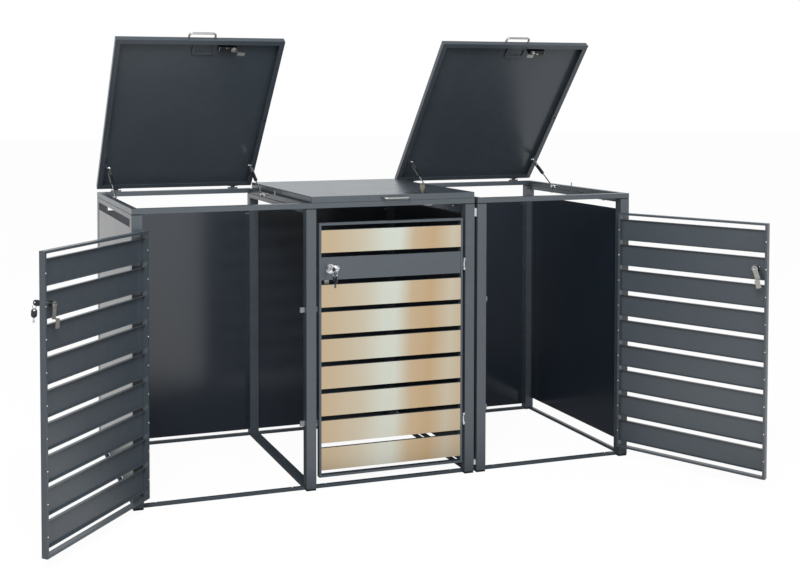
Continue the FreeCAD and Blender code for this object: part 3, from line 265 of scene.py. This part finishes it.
def brushed_facing(bay):
    """Warm stainless with scratches along one door, and upright bands of painted reflection that
    darken towards the ground as painted shade.
    """
    finish = Finish(f"warm_brushed_facing_{bay}", metallic=1.0, Anisotropic=0.5)
    hinge, along, _ = door_turn(bay)
    low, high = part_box(f"door_facings_{bay}")
    width = math.hypot(high[0] - low[0], high[1] - low[1])
    rise = high[2] - low[2]
    start = tuple(hinge * [1, 1, 0] + UP * low[2])
    moved = finish.node("ShaderNodeVectorMath", {0: finish.point(), 1: start}, operation="SUBTRACT")
    turn = {"Vector": moved, "Angle": -math.atan2(along[1], along[0])}
    flat = finish.node("ShaderNodeVectorRotate", turn, rotation_type="Z_AXIS")
    across = finish.node("ShaderNodeSeparateXYZ", {0: flat})
    height = finish.node("ShaderNodeSeparateXYZ", {0: flat}, output=2)
    share = across * (1 / width) + height * (BAND_LEAN / rise) - BAND_LEAN
    drift = finish.noise(flat, SLOW_SCALE, 2.0, SLOW_STRETCH)
    place = share + drift * BAND_DRIFT - BAND_DRIFT / 2
    # Painted reflection: how bright the bands are at each place across the door
    stops = [(where, (tone, tone, tone)) for where, tone in PAINTED_REFLECTION_BANDS]
    bands = finish.node("ShaderNodeValToRGB", {0: place}, stops=stops)
    # Painted shade: the bands grow darker towards the ground
    ground_shade = height * (PAINTED_GROUND_SHADE / rise) + (1 - PAINTED_GROUND_SHADE)
    scratch = finish.noise(flat, SCRATCH_SCALE, 3.0, SCRATCH_STRETCH)
    # The painted reflection bands, with the brush scratches' real tone added
    reflection_and_scratch_tone = finish.node("ShaderNodeSeparateColor", {0: bands}) * ground_shade
    reflection_and_scratch_tone = reflection_and_scratch_tone + scratch * SCRATCH_TONE - SCRATCH_TONE / 2
    finish.feed("Base Color", finish.blend(reflection_and_scratch_tone, WARM_METAL, PAINTED_REFLECTION_TONE))
    finish.feed("Roughness", scratch * SCRATCH_ROUGH + LEAST_ROUGH)
    finish.relief(scratch, SCRATCH_DEPTH, FACING_EDGE)
    return finish.material


facings = {bay: brushed_facing(bay) for bay in ("left", "middle", "right")}
print("made", [material.name for material in facings.values()])

# %% [markdown]
# ## Bright fittings and plastics
# Locks, keys and rods are nickel or chrome plated. Plating follows the casting under it,
# so it is smooth with a faint ripple. Small bright fittings mirror the room in light and
# dark patches, and the chrome's colour carries these too, as painted reflections. The cams
# are plain zinc plate, which is duller and clouded, and screws are brighter zinc. The lid
# keys are bronze coloured and the handles are satin bar. The plugs, the key heads and the
# lids' lock housings are plain black plastic with a fine moulded grain.

# %% Plated and satin metal
FINE_RATIO = 12.0
PLATE_ROUGH = 0.1
PLATE_EDGE = 0.0004


def plated(name, low, high, rough, ripple, scale, contrast=1.0):
    """Metal whose tone drifts between two colours, with a ripple of that depth."""
    finish = Finish(name, metallic=1.0)
    point = finish.point()
    cloud = finish.noise(point, scale, 2.0)
    fine = finish.noise(point, scale * FINE_RATIO, 2.0)
    tone = cloud * contrast + (0.5 - 0.5 * contrast)
    finish.feed("Base Color", finish.blend(tone, low, high))
    finish.feed("Roughness", fine * PLATE_ROUGH + (rough - PLATE_ROUGH / 2))
    finish.relief(cloud, ripple, PLATE_EDGE)
    return finish.material


# Painted reflections: chrome's colour swings hard between dark and bright patches, as if mirroring
# the room
chrome = plated(
    "chrome_plate", (0.13, 0.14, 0.155), (0.66, 0.66, 0.67),
    rough=0.12, ripple=0.0006, scale=150.0, contrast=2.6,
)
satin_bar = plated(
    "satin_bar", (0.25, 0.25, 0.245), (0.34, 0.335, 0.33),
    rough=0.34, ripple=0.00005, scale=140.0,
)
zinc_plate = plated(
    "zinc_plate", (0.24, 0.235, 0.22), (0.40, 0.39, 0.37),
    rough=0.42, ripple=0.0001, scale=120.0,
)
bronze_plate = plated(
    "bronze_plate", (0.075, 0.068, 0.052), (0.20, 0.185, 0.15),
    rough=0.36, ripple=0.0001, scale=160.0, contrast=2.0,
)
bright_zinc = plated(
    "bright_zinc_plate", (0.58, 0.58, 0.58), (0.74, 0.74, 0.74),
    rough=0.30, ripple=0.00003, scale=160.0,
)
print("made", chrome.name, satin_bar.name, zinc_plate.name, bronze_plate.name, bright_zinc.name)

# %% Moulded plastic
GRAIN_SCALE = 2600.0
GRAIN_ROUGH, GRAIN_SMOOTH = 0.15, 0.08
GRAIN_DEPTH, MOULD_EDGE = 0.00008, 0.0008


def moulded(name, low, high, rough):
    """Plastic with a fine grain from its mould."""
    finish = Finish(name, IOR=1.46, Specular_IOR_Level=0.3)
    grain = finish.noise(finish.point(), GRAIN_SCALE, 1.0)
    finish.feed("Base Color", finish.blend(grain, low, high))
    finish.feed("Roughness", grain * GRAIN_ROUGH + (rough - GRAIN_SMOOTH))
    finish.relief(grain, GRAIN_DEPTH, MOULD_EDGE)
    return finish.material


black_plastic = moulded(
    "black_moulded_plastic", (0.004, 0.004, 0.005), (0.009, 0.009, 0.010), rough=0.46
)
blue_black_plastic = moulded(
    "blue_black_key_plastic", (0.006, 0.008, 0.013), (0.012, 0.015, 0.022), rough=0.34
)
grey_plastic = moulded(
    "grey_moulded_plastic", (0.13, 0.135, 0.14), (0.19, 0.195, 0.205), rough=0.45
)
pale_plastic = moulded(
    "pale_moulded_plastic", (0.40, 0.41, 0.42), (0.50, 0.51, 0.52), rough=0.5
)
print("made", black_plastic.name, blue_black_plastic.name, grey_plastic.name, pale_plastic.name)

# %% [markdown]
# ## Dressing the CAD pieces
# Every node of the frame names its material slot in the record, so the finish follows
# from it. The door facings each take the finish that runs along their own door, and a
# few nodes have a finish of their own.

# %% Give each node its finish
FINISH_OF_SLOT = {
    "coated_steel": coated_steel,
    "chrome_fittings": chrome,
    "satin_steel": satin_bar,
    "black_plastic": black_plastic,
    "grey_plastic": grey_plastic,
    "black_steel": black_steel,
}
OWN_FINISH = {
    "joining_spacers": pale_plastic,
    "back_panels": panel_coat_with_painted_shade,
    "side_panels": panel_coat_with_painted_shade,
}
for bay in facings:
    OWN_FINISH[f"door_facings_{bay}"] = facings[bay]
    OWN_FINISH[f"door_lock_cam_{bay}"] = zinc_plate
    OWN_FINISH[f"lid_lock_cam_{bay}"] = zinc_plate
    OWN_FINISH[f"lid_lock_key_{bay}"] = bronze_plate
slot_of = {part["node"]: part["material_slot"] for part in record["subparts"]}
for name, piece in frame["nodes"].items():
    finish = OWN_FINISH.get(name) or FINISH_OF_SLOT[slot_of[name]]
    piece.data.materials.clear()
    piece.data.materials.append(finish)
print("dressed", len(slot_of), "nodes")

# %% [markdown]
# ## Surfaces on a grid
# The trim is turned, stamped or wrapped, and all of it is one kind of surface: rings of
# points, each joined to the next. A screw's rings shrink to its axis, a key head's rings
# run round a hole and meet again, and a wrap's rings are thin and curved. So one function
# joins rings, and a few short ones work out where the rings lie.

# %% Rings joined to a skin


def joined(rings, around=False):
    """Faces between neighbouring rings of an array of shape (rings, points, 3).

    Each ring closes on itself. With around set, the last ring also meets the first.
    """
    count, sides = rings.shape[:2]
    rows = np.arange(count if around else count - 1)
    row, column = np.meshgrid(rows, np.arange(sides), indexing="ij")
    here = row * sides + column
    beside = row * sides + (column + 1) % sides
    step = ((row + 1) % count - row) * sides
    faces = np.stack([here, beside, beside + step, here + step], axis=-1).reshape(-1, 4)
    return rings.reshape(-1, 3), faces


def turned(outline, sides, scale=1.0):
    """Carry an outline of (radius, height) in millimetres round the Z axis.

    Point (i, k) is (r_i cos a_k, r_i sin a_k, h_i) with a_k = 2 pi k / sides.
    """
    outline = np.array(outline) * MM * scale
    angle = 2 * math.pi * np.arange(sides) / sides
    radius, height = outline[:, 0, None], outline[:, 1, None]
    points = [radius * np.cos(angle), radius * np.sin(angle), height + 0 * angle]
    return joined(np.stack(points, axis=-1), around=bool(np.all(outline[0] == outline[-1])))


print("turned and joined surfaces ready")

# %% [markdown]
# ## From surfaces to pieces
# A shape is worked out standing on the Z axis at the origin, and then set down with that
# axis along any direction. Shapes of one kind that ride on one body become one piece. Its
# doubled points are merged, because that closes the poles and seams of the rings.

# %% Set a shape down


def basis_of(axis, across=None):
    """Three directions at right angles with the third along an axis."""
    axis = np.array(axis, float) / np.linalg.norm(axis)
    if across is None:
        across = np.cross(RIGHT if abs(axis[2]) > 0.9 else UP, axis)
    across = np.array(across, float) - axis * np.dot(across, axis)
    across /= np.linalg.norm(across)
    return np.stack([across, np.cross(axis, across), axis])


def standing(shape, base, axis, across=None):
    """Set a shape down with its Z axis along a direction and its origin at a point."""
    points, faces = shape
    return points @ basis_of(axis, across) + np.array(base, float), faces


print("shapes can stand anywhere")

# %% Make one clean mesh of several shapes
CREASE = math.radians(35)


def clean(mesh):
    """Merge doubled points, point the faces outwards and smooth all but sharp edges."""
    work = bmesh.new()
    work.from_mesh(mesh)
    bmesh.ops.remove_doubles(work, verts=work.verts, dist=1e-6)
    bmesh.ops.dissolve_degenerate(work, edges=work.edges, dist=1e-7)
    bmesh.ops.recalc_face_normals(work, faces=work.faces)
    for edge in work.edges:
        edge.smooth = len(edge.link_faces) < 2 or edge.calc_face_angle(0) < CREASE
    for face in work.faces:
        face.smooth = True
    work.to_mesh(mesh)
    work.free()


def piece_of(name, shapes, material, body):
    """One mesh from several shapes, which rides on a body."""
    points, faces, start = [], [], 0
    for shape_points, shape_faces in shapes:
        points.append(shape_points)
        faces.append(shape_faces + start)
        start += len(shape_points)
    mesh = bpy.data.meshes.new(name)
    mesh.from_pydata(np.concatenate(points).tolist(), [], np.concatenate(faces).tolist())
    clean(mesh)
    mesh.materials.append(material)
    piece = bpy.data.objects.new(name, mesh)
    bpy.context.scene.collection.objects.link(piece)
    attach(piece, body)
    print(name, len(mesh.polygons), "faces")


print("mesh helpers ready")

# %% [markdown]
# ## Screws and bolts
# Each slat is held to the two stiles by a screw at the middle of its height. Its pan
# head stands on the inner face of the stile, where it catches the light as a small dot.
# The one that the lock's cam passes over has a flatter head. Hexagon bolts hold the
# cross rails up to the top frame, and screws hold the front floor rails down. A head is
# an outline carried round its axis: many sides make it round, and six make a hexagon.

# %% Screws along the door stiles
PAN_HEAD = [
    (0, 0), (2.4, 0), (2.4, 0.5), (2.1, 1.0), (1.4, 1.35), (0.9, 1.45), (0.7, 1.0), (0, 0.9),
]
FLAT_HEAD = np.array(PAN_HEAD) * [1, 0.5]
BAY_WIDTH = {"left": 665 * MM, "middle": 665 * MM, "right": 658 * MM}
DOOR_GAP = 12.5 * MM
STILE_MIDDLE = 4.5 * MM
STILE_FACE = 23.2 * MM
SLATS, SLAT_HEIGHT = 9, 91 * MM
for bay in facings:
    hinge, along, inward = door_turn(bay)
    low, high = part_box(f"door_slats_{bay}")
    pitch = (high[2] - low[2] - SLAT_HEIGHT) / (SLATS - 1)
    heights = low[2] + SLAT_HEIGHT / 2 + pitch * np.arange(SLATS)
    lock_height = joints[f"door_lock_{bay}_turn"]["pos_m"][2]
    leaf = BAY_WIDTH[bay] - 2 * DOOR_GAP
    shapes = []
    for reach in (STILE_MIDDLE, leaf - STILE_MIDDLE):
        out = along * (DOOR_GAP / 2 + reach) + inward * STILE_FACE
        for height in heights:
            under_cam = reach > leaf / 2 and abs(height - lock_height) < SLAT_HEIGHT / 2
            head = turned(FLAT_HEAD if under_cam else PAN_HEAD, 14)
            shapes.append(standing(head, hinge * [1, 1, 0] + out + UP * height, inward))
    piece_of(f"slat_screws_{bay}", shapes, bright_zinc, f"door_{bay}")

# %% Bolts of the cross rails
HEX_HEAD = [(0, 0), (5.5, 0), (5.5, 3.2), (4.9, 3.9), (0, 3.9)]
WASHER_HEIGHT = 1.0
WASHER = [(0, 0), (6.5, 0), (6.5, WASHER_HEIGHT), (0, WASHER_HEIGHT)]
CROSS_RAIL_MIDDLES = (12.5, 1443.5, 1482.5, 2199.5)
CROSS_RAIL_BOLTS = (172, 452, 605)
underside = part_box("cross_rails")[0][2]
rail_bolts = []
for x in CROSS_RAIL_MIDDLES:
    for y in CROSS_RAIL_BOLTS:
        foot = np.array([x * MM, y * MM, underside])
        rail_bolts.append(standing(turned(WASHER, 18), foot, -UP))
        rail_bolts.append(standing(turned(HEX_HEAD, 6), foot - UP * WASHER_HEIGHT * MM, -UP))
piece_of("rail_bolts", rail_bolts, chrome, "root")

# %% Screws of the front floor rails
FLOOR_SCREWS = (94, 655, 801, 1362, 1564, 2118)
FLOOR_RAIL_MIDDLE = 29.5 * MM
FLOOR_SCREW_SCALE = 1.6
top_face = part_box("floor_rails")[1][2]
floor_screws = [
    standing(turned(PAN_HEAD, 16, FLOOR_SCREW_SCALE), [x * MM, FLOOR_RAIL_MIDDLE, top_face], UP)
    for x in FLOOR_SCREWS
]
piece_of("floor_screws", floor_screws, chrome, "root")

# %% [markdown]
# ## Door locks
# A door's lock is turned about one axis through the door. Its directions are worked out
# once, and everything on the lock is then placed in them: the black nut behind the slat,
# the cam's bolt, the plastic heads moulded over the keys, and beside the collar the round
# dust cover that swings over the keyhole. These are turned, apart from a key's head, which
# is a flat oval whose rings run round its hole. The door's two hinge knuckles are bright,
# so a thin plated sleeve is turned round each.

# %% Where each door lock is


def lock_frame(bay):
    """The lock's point on the hinge's plane, and its sideways, inward and upward ways.

    Sideways runs to the right along the door. It and upward are turned about the lock's
    axis by the angle that the cam has at rest.
    """
    joint = joints[f"door_lock_{bay}_turn"]
    hinge, along, inward = door_turn(bay)
    spot = np.array(joint["pos_m"])
    spot = spot - inward * np.dot(spot - hinge, inward)
    side = door_side(bay)
    angle = -side * math.radians(abs(joint["range_deg"][0]))
    sideways = along * side
    across = sideways * math.cos(angle) - UP * math.sin(angle)
    upward = sideways * math.sin(angle) + UP * math.cos(angle)
    return spot, across, inward, upward


for bay in facings:
    print(bay, "lock at", lock_frame(bay)[0].round(4))

# %% Outlines of the door locks' trim
NUT_FACE = [
    (9.9, 0.0), (12.6, 0.0), (12.9, 0.3), (12.9, 0.9),
    (12.4, 1.3), (10.2, 1.3), (9.9, 1.0), (9.9, 0.0),
]
CAM_BOLT = [(0, 0), (7.1, 0), (7.1, 4.2), (6.4, 4.9), (3.6, 5.1), (3.0, 4.4), (0, 4.4)]
DUST_COVER = [(0, 0), (12.6, 0), (13.0, 0.4), (13.0, 1.0), (12.2, 1.6), (7.0, 2.1), (0, 2.3)]
HINGE_SLEEVE = [
    (3.2, -13), (3.7, -13), (3.85, -12.6), (3.85, 12.6), (3.7, 13), (3.2, 13), (3.2, -13),
]
print("outlines", len(NUT_FACE), len(CAM_BOLT), len(DUST_COVER), len(HINGE_SLEEVE), "points")

# %% Nuts, bolts, dust covers and hinge sleeves
# How far inside the hinge's plane the nut and the cam's bolt stand
NUT_IN, BOLT_IN = 8.1 * MM, 26.6 * MM
# From the lock's axis back towards the hinge, and outwards
COVER_ASIDE, COVER_OUT = 26 * MM, 3.2 * MM
HINGE_HEIGHTS = (236 * MM, 890 * MM)
for bay in facings:
    hinge, along, _ = door_turn(bay)
    spot, _, inward, upward = lock_frame(bay)
    nut = standing(turned(NUT_FACE, 32), spot + inward * NUT_IN, inward)
    piece_of(f"door_lock_nut_{bay}", [nut], black_plastic, f"door_{bay}")
    bolt = standing(turned(CAM_BOLT, 6), spot + inward * BOLT_IN, inward, upward)
    piece_of(f"door_cam_bolt_{bay}", [bolt], chrome, f"door_lock_{bay}")
    foot = spot - along * COVER_ASIDE - inward * COVER_OUT
    cover = standing(turned(DUST_COVER, 36), foot, -inward)
    piece_of(f"door_dust_cover_{bay}", [cover], chrome, f"door_{bay}")
    sleeves = [
        standing(turned(HINGE_SLEEVE, 24), hinge * [1, 1, 0] + UP * height, UP)
        for height in HINGE_HEIGHTS
    ]
    piece_of(f"door_hinge_sleeves_{bay}", sleeves, chrome, f"door_{bay}")

# %% Plastic heads on the door keys
# The middles of the head's two round ends, from the hole
HEAD_ENDS = (-16 * MM, -5 * MM)
HEAD_RADIUS, HEAD_HOLE, HEAD_THICK = 10.5 * MM, 3.85 * MM, 4.6 * MM
# The hole of the key in the lock is outside the hinge's plane, and the spare hangs below
KEY_HOLE_OUT = 57.3 * MM
RING_DROP = 24.6 * MM
SPARE_TURN = math.radians(40)


def key_head(sides=40):
    """A flat key head in the XZ plane: an oval with a hole and softened rims.

    The oval's outline at angle a is its end's centre plus radius (cos a, sin a), where
    the centre is the far one for cos a above 0 and the near one below it. Its point
    moves in a straight line to the hole's own point at a, and the thickness falls at
    both rims.
    """
    angle = 2 * math.pi * (np.arange(sides) + 0.5) / sides
    circle = np.stack([np.cos(angle), np.sin(angle)], axis=-1)
    centre = np.where(np.cos(angle) > 0, HEAD_ENDS[1], HEAD_ENDS[0])
    outer = circle * HEAD_RADIUS + np.stack([centre, 0 * centre], axis=-1)
    inner = circle * HEAD_HOLE
    share = np.array([0, 0, 0.12, 0.9, 1, 1, 0.9, 0.12])
    level = np.array([-0.3, 0.3, 0.5, 0.5, 0.25, -0.25, -0.5, -0.5]) * HEAD_THICK
    flat = inner[:, None] + share[None, :, None] * (outer - inner)[:, None]
    rings = np.stack([flat[..., 0], 0 * flat[..., 0] + level, flat[..., 1]], axis=-1)
    return joined(rings, around=True)


for bay in facings:
    spot, across, inward, upward = lock_frame(bay)
    hole = spot - inward * KEY_HOLE_OUT
    leaning = across * -math.sin(SPARE_TURN) + inward * math.cos(SPARE_TURN)
    heads = [
        standing(key_head(), hole, upward, -inward),
        standing(key_head(), hole - upward * RING_DROP, leaning, upward),
    ]
    body = f"door_lock_{bay}"
    piece_of(f"door_key_heads_{bay}", heads, blue_black_plastic, body)

# %% [markdown]
# ## Lid locks
# Under each lid the lock's black housing ends in a nickel plate, with a small riveted
# plate on its underside. The same housing is fitted turned round on the right lid, so
# its cam and its nickel end change sides. The cam is held by a hexagon bolt. A plate's
# rings follow a squared circle, so its corners come out round without a modifier.

# %% Stamped plates with round corners


def stamped(half_a, half_b, thick, sides=36):
    """A flat plate with rounded corners and a softened upper rim, in millimetres.

    Its outline is where each ray at angle a meets the curve |x/A|^6 + |y/B|^6 = 1.
    """
    angle = 2 * math.pi * np.arange(sides) / sides
    aside, ahead = np.cos(angle), np.sin(angle)
    reach = (np.abs(aside / half_a) ** 6 + np.abs(ahead / half_b) ** 6) ** (-1 / 6)
    levels = ((0, 0), (1, 0), (1, 0.55 * thick), (0.95, thick), (0, thick))
    rings = [
        np.stack([share * reach * aside, share * reach * ahead, 0 * angle + level], axis=-1)
        for share, level in levels
    ]
    return joined(np.array(rings) * MM)


print("stamped plates ready")

# %% Plates and bolts of the lid locks
# From a lock's pivot sideways to the middle of its housing, and up to its underside
HOUSING_ASIDE = {"left": 25 * MM, "middle": 26 * MM, "right": 26 * MM}
HOUSING_UP = 1.5 * MM
END_PLATE, END_ASIDE, END_UP = (11.2, 10.0, 1.2), 36.0 * MM, 9.0 * MM
RIVET_PLATE, RIVET_ASIDE, RIVET_AHEAD = (6.5, 3.2, 0.8), 3 * MM, 6.5 * MM
PLATE_SINK = 0.1 * MM
BOLT_DOWN = 2.4 * MM
for bay in facings:
    joint = joints[f"lid_lock_{bay}_turn"]
    pivot = np.array(joint["pos_m"])
    normal = np.array(joint["axis"]) * np.sign(joint["axis"][2])
    forward = np.array([0, -normal[2], normal[1]])
    hand = -1 if bay == "right" else 1
    face = pivot - RIGHT * hand * HOUSING_ASIDE[bay] + normal * HOUSING_UP
    end = face - RIGHT * hand * END_ASIDE + normal * END_UP
    rivets = face - RIGHT * hand * RIVET_ASIDE + forward * hand * RIVET_AHEAD
    shapes = [
        standing(stamped(*END_PLATE), end, -RIGHT * hand, forward),
        standing(stamped(*RIVET_PLATE), rivets + normal * PLATE_SINK, -normal, RIGHT),
    ]
    piece_of(f"lid_lock_plates_{bay}", shapes, chrome, f"lid_{bay}")
    bolt = standing(turned(CAM_BOLT, 6), pivot - normal * BOLT_DOWN, -normal, RIGHT)
    piece_of(f"lid_cam_bolt_{bay}", [bolt], chrome, f"lid_lock_{bay}")

# %% [markdown]
# ## Gas strut ends
# Each strut hangs on a plated eye with a black washer and a domed nut. A plain silver
# band is wrapped round the half of each cylinder nearest the lid, on the side that faces
# the middle of the bay. The band is a thin sheet that stands a hair off the cylinder,
# because two surfaces in one place would show through each other.

# %% Bands round the cylinders
BAND_RADIUS, BAND_SHEET = 8.03 * MM, 0.25 * MM
# Along the cylinder, from the stud
BAND_START, BAND_END = 14 * MM, 56 * MM
BAND_SPREAD = math.radians(205)


def wrap(sides=18):
    """A thin curved plate round part of the Z axis, from one height to another.

    Its section runs out along an arc of the band's radius and back along one a sheet
    further out, and shrinks to a line at both heights.
    """
    sweep = BAND_SPREAD * np.linspace(-0.5, 0.5, sides)
    angle = np.concatenate([sweep, sweep[::-1]])
    inside, outside = np.full(sides, BAND_RADIUS), np.full(sides, BAND_RADIUS + BAND_SHEET)
    away = np.concatenate([inside, outside])
    line = np.full(2 * sides, BAND_RADIUS + BAND_SHEET / 2)
    edges = ((line, BAND_START), (away, BAND_START), (away, BAND_END), (line, BAND_END))
    rings = [
        np.stack([radius * np.cos(angle), radius * np.sin(angle), 0 * angle + height], axis=-1)
        for radius, height in edges
    ]
    return joined(np.array(rings))


print("bands ready")

# %% Eyes, washers and bands
EYE = [(5.6, -5.2), (7.3, -5.2), (7.6, -4.8), (7.6, 4.8), (7.3, 5.2), (5.6, 5.2), (5.6, -5.2)]
EYE_WASHER = [(0, 0), (6.4, 0), (6.6, 0.3), (6.6, 1.2), (6.2, 1.5), (0, 1.5)]
DOMED_NUT = [(0, 0), (4.6, 0), (4.6, 1.6), (3.9, 3.0), (2.4, 4.1), (0, 4.6)]
CYLINDER_RADIUS = 8 * MM
# From the eye's middle towards the middle of the bay
WASHER_OUT, NUT_OUT = 5.1 * MM, 6.5 * MM
for bay in facings:
    stud = np.array(joints[f"struts_{bay}_swing"]["pos_m"])
    way = np.array(joints[f"strut_rods_{bay}_slide"]["axis"])
    low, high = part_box(f"strut_cylinders_{bay}")
    eyes, washers, nuts, bands = [], [], [], []
    for x, inside in ((low[0] + CYLINDER_RADIUS, RIGHT), (high[0] - CYLINDER_RADIUS, -RIGHT)):
        place = np.array([x, stud[1], stud[2]])
        eyes.append(standing(turned(EYE, 28), place, inside))
        washers.append(standing(turned(EYE_WASHER, 28), place + inside * WASHER_OUT, inside))
        nuts.append(standing(turned(DOMED_NUT, 24), place + inside * NUT_OUT, inside))
        bands.append(standing(wrap(), place, way, inside))
    body = f"struts_{bay}"
    piece_of(f"strut_eyes_{bay}", eyes + nuts, chrome, body)
    piece_of(f"strut_washers_{bay}", washers, black_plastic, body)
    piece_of(f"strut_bands_{bay}", bands, bright_zinc, body)

# %% [markdown]
# ## The studio
# The store stands in white surroundings with one large soft light above and in front of
# it. The surroundings are drawn as a smooth function of the direction: an even white,
# with a broad lobe that is brighter towards the front, and darker overhead. The camera
# sees plain white there.
#
# The floor is matt, and a middle grey for the light that it bounces up, so that the bays
# stay dark inside. The camera sees most of it as white, and only a trace of the store's
# shadow is left on it. Mirrored rays see a white floor too, with a painted shadow right
# under the store, where the store keeps the light off, and a painted pool of light that
# is brightest in front.

# %% White surround
SURROUND = 1.05
OVERHEAD_LOSS = 0.45
FRONT = (0.15, -0.97, 0.12)
FRONT_GAIN = 1.3
FRONT_WIDTH = 6.0
COOL_WHITE = (0.95, 0.98, 1.0, 1.0)
WHITE = (1.0, 1.0, 1.0, 1.0)


def one_for(graph, *rays):
    """1 for a ray of one of these kinds, otherwise 0."""
    return sum(graph.node("ShaderNodeLightPath", output=ray) for ray in rays)


world = bpy.data.worlds.new("white_surround")
bpy.context.scene.world = world
sky = Graph(world)
direction = sky.node("ShaderNodeTexCoord", output=0)
front = tuple(np.array(FRONT) / np.linalg.norm(FRONT))
ahead = sky.node("ShaderNodeVectorMath", {0: direction, 1: front}, output=1, operation="DOT_PRODUCT")
ahead = sky.node("ShaderNodeMath", {0: ahead, 1: 0.0}, operation="MAXIMUM")
lobe = sky.node("ShaderNodeMath", {0: ahead, 1: FRONT_WIDTH}, operation="POWER")
overhead = sky.node("ShaderNodeSeparateXYZ", {0: direction}, output=2)
overhead = sky.node("ShaderNodeMath", {0: overhead, 1: 0.0}, operation="MAXIMUM")
level = lobe * FRONT_GAIN + SURROUND - overhead * OVERHEAD_LOSS
soft = sky.node("ShaderNodeBackground", {"Color": COOL_WHITE, "Strength": level})
plain = sky.node("ShaderNodeBackground", {"Color": WHITE, "Strength": 1.0})
by_camera = one_for(sky, "Is Camera Ray")
mixed = sky.node("ShaderNodeMixShader", {0: by_camera, 1: soft, 2: plain})
sky.node("ShaderNodeOutputWorld", {"Surface": mixed})
print("surround", SURROUND, "front lobe adds", FRONT_GAIN)

# %% The floor's mesh
FLOOR_HALF = 40.0
floor_mesh = bpy.data.meshes.new("floor")
corners = FLOOR_HALF * np.array([(-1, -1, 0), (1, -1, 0), (1, 1, 0), (-1, 1, 0)])
floor_mesh.from_pydata(corners.tolist(), [], [(0, 1, 2, 3)])
floor = bpy.data.objects.new("floor", floor_mesh)
bpy.context.scene.collection.objects.link(floor)
print("floor", 2 * FLOOR_HALF, "m wide")

# %% The floor's brightness in mirrored rays
# Painted shadow and light in the floor's glow for mirrored rays: dim under the store, bright in a
# wedge in front
SHADE_SHINE, OPEN_SHINE, FRONT_SHINE = 0.12, 1.0, 0.65
STORE_HALF_WIDTH, STORE_HALF_DEPTH = 1.106, 0.42
SHADE_EDGE = 0.22
# The bright part is a wedge that points at the store and widens away from it
WEDGE_SLOPE, WEDGE_EDGE = 0.5, -0.32


def ramped(graph, value, start, end, low, high):
    """A number that goes from low to high as a value goes from start to end."""
    return graph.node("ShaderNodeMapRange", {0: value, 1: start, 2: end, 3: low, 4: high})


floor_material = bpy.data.materials.new("pale_floor")
ground = Graph(floor_material)
across = ground.node("ShaderNodeSeparateXYZ", {0: ground.point()})
away = ground.node("ShaderNodeSeparateXYZ", {0: ground.point()}, output=1)
aside = ground.node("ShaderNodeMath", {0: across - STORE_HALF_WIDTH}, operation="ABSOLUTE")
behind = ground.node("ShaderNodeMath", {0: away - STORE_HALF_DEPTH}, operation="ABSOLUTE")
past = {0: aside - STORE_HALF_WIDTH, 1: behind - STORE_HALF_DEPTH}
outside = ground.node("ShaderNodeMath", past, operation="MAXIMUM")
under_store = ramped(ground, outside, 0.0, SHADE_EDGE, SHADE_SHINE, OPEN_SHINE)
in_front = ramped(ground, away + aside * WEDGE_SLOPE, WEDGE_EDGE, 0.0, FRONT_SHINE, 0.0)
shine = under_store + in_front
print("mirrored floor from", SHADE_SHINE, "to", OPEN_SHINE + FRONT_SHINE)

# %% The floor's material
FLOOR_GREY = (0.36, 0.36, 0.36, 1.0)
CAMERA_WHITE, CAMERA_SHARE, MIRROR_SHARE = 1.06, 0.9, 0.95
matt = ground.node("ShaderNodeBsdfDiffuse", {"Color": FLOOR_GREY})
by_mirror = one_for(ground, "Is Glossy Ray", "Is Transmission Ray")
by_camera = one_for(ground, "Is Camera Ray")
strength = by_mirror * shine + by_camera * CAMERA_WHITE
glow = ground.node("ShaderNodeEmission", {"Color": WHITE, "Strength": strength})
share = by_mirror * MIRROR_SHARE + by_camera * CAMERA_SHARE
mixed = ground.node("ShaderNodeMixShader", {0: share, 1: matt, 2: glow})
ground.node("ShaderNodeOutputMaterial", {"Surface": mixed})
floor_mesh.materials.append(floor_material)
print("floor ready")

# %% Soft key lamp
LAMP_PLACE = np.array([-0.6, -3.4, 4.2])
LAMP_AIM = np.array([0.9, 0.0, 0.6])
LAMP_SIZE, LAMP_POWER = 2.4, 330
light = bpy.data.lights.new("key_soft_box", "AREA")
light.shape = "SQUARE"
light.size = LAMP_SIZE
light.energy = LAMP_POWER
lamp = bpy.data.objects.new("key_soft_box", light)
bpy.context.scene.collection.objects.link(lamp)
lamp.location = LAMP_PLACE
x, y, z = LAMP_AIM - LAMP_PLACE
lamp.rotation_euler = (math.pi / 2 + math.atan2(z, math.hypot(x, y)), 0, math.atan2(-x, y))
print("lamp", LAMP_POWER, "W")

# %% [markdown]
# ## The camera
# The view is a normal lens from the left at eye height. The photograph was cropped, so
# its middle isn't where the lens points: a small shift of the lens frames it.

# %% Camera
FRAME_WIDTH, FRAME_HEIGHT = 800, 571
FOCAL_PIXELS, SENSOR_WIDTH = 1124.47, 36.0
# The pixel that the lens points at
AXIS_X, AXIS_Y = 264.41, 136.86
EYE_PLACE = (-0.7952, -4.2275, 1.5850)
YAW, PITCH, ROLL = math.radians(17.43), math.radians(1.956), math.radians(0.128)
camera_data = bpy.data.cameras.new("camera")
camera_data.sensor_fit = "HORIZONTAL"
camera_data.sensor_width = SENSOR_WIDTH
camera_data.lens = FOCAL_PIXELS * SENSOR_WIDTH / FRAME_WIDTH
camera_data.shift_x = (FRAME_WIDTH / 2 - AXIS_X) / FRAME_WIDTH
camera_data.shift_y = (AXIS_Y - FRAME_HEIGHT / 2) / FRAME_WIDTH
camera_data.clip_end = 200.0
camera = bpy.data.objects.new("camera", camera_data)
bpy.context.scene.collection.objects.link(camera)
camera.location = EYE_PLACE
camera.rotation_euler = (math.pi / 2 - PITCH, ROLL, -YAW)
bpy.context.scene.camera = camera
bpy.context.scene.view_settings.view_transform = "Standard"
print("lens", round(camera_data.lens, 2))
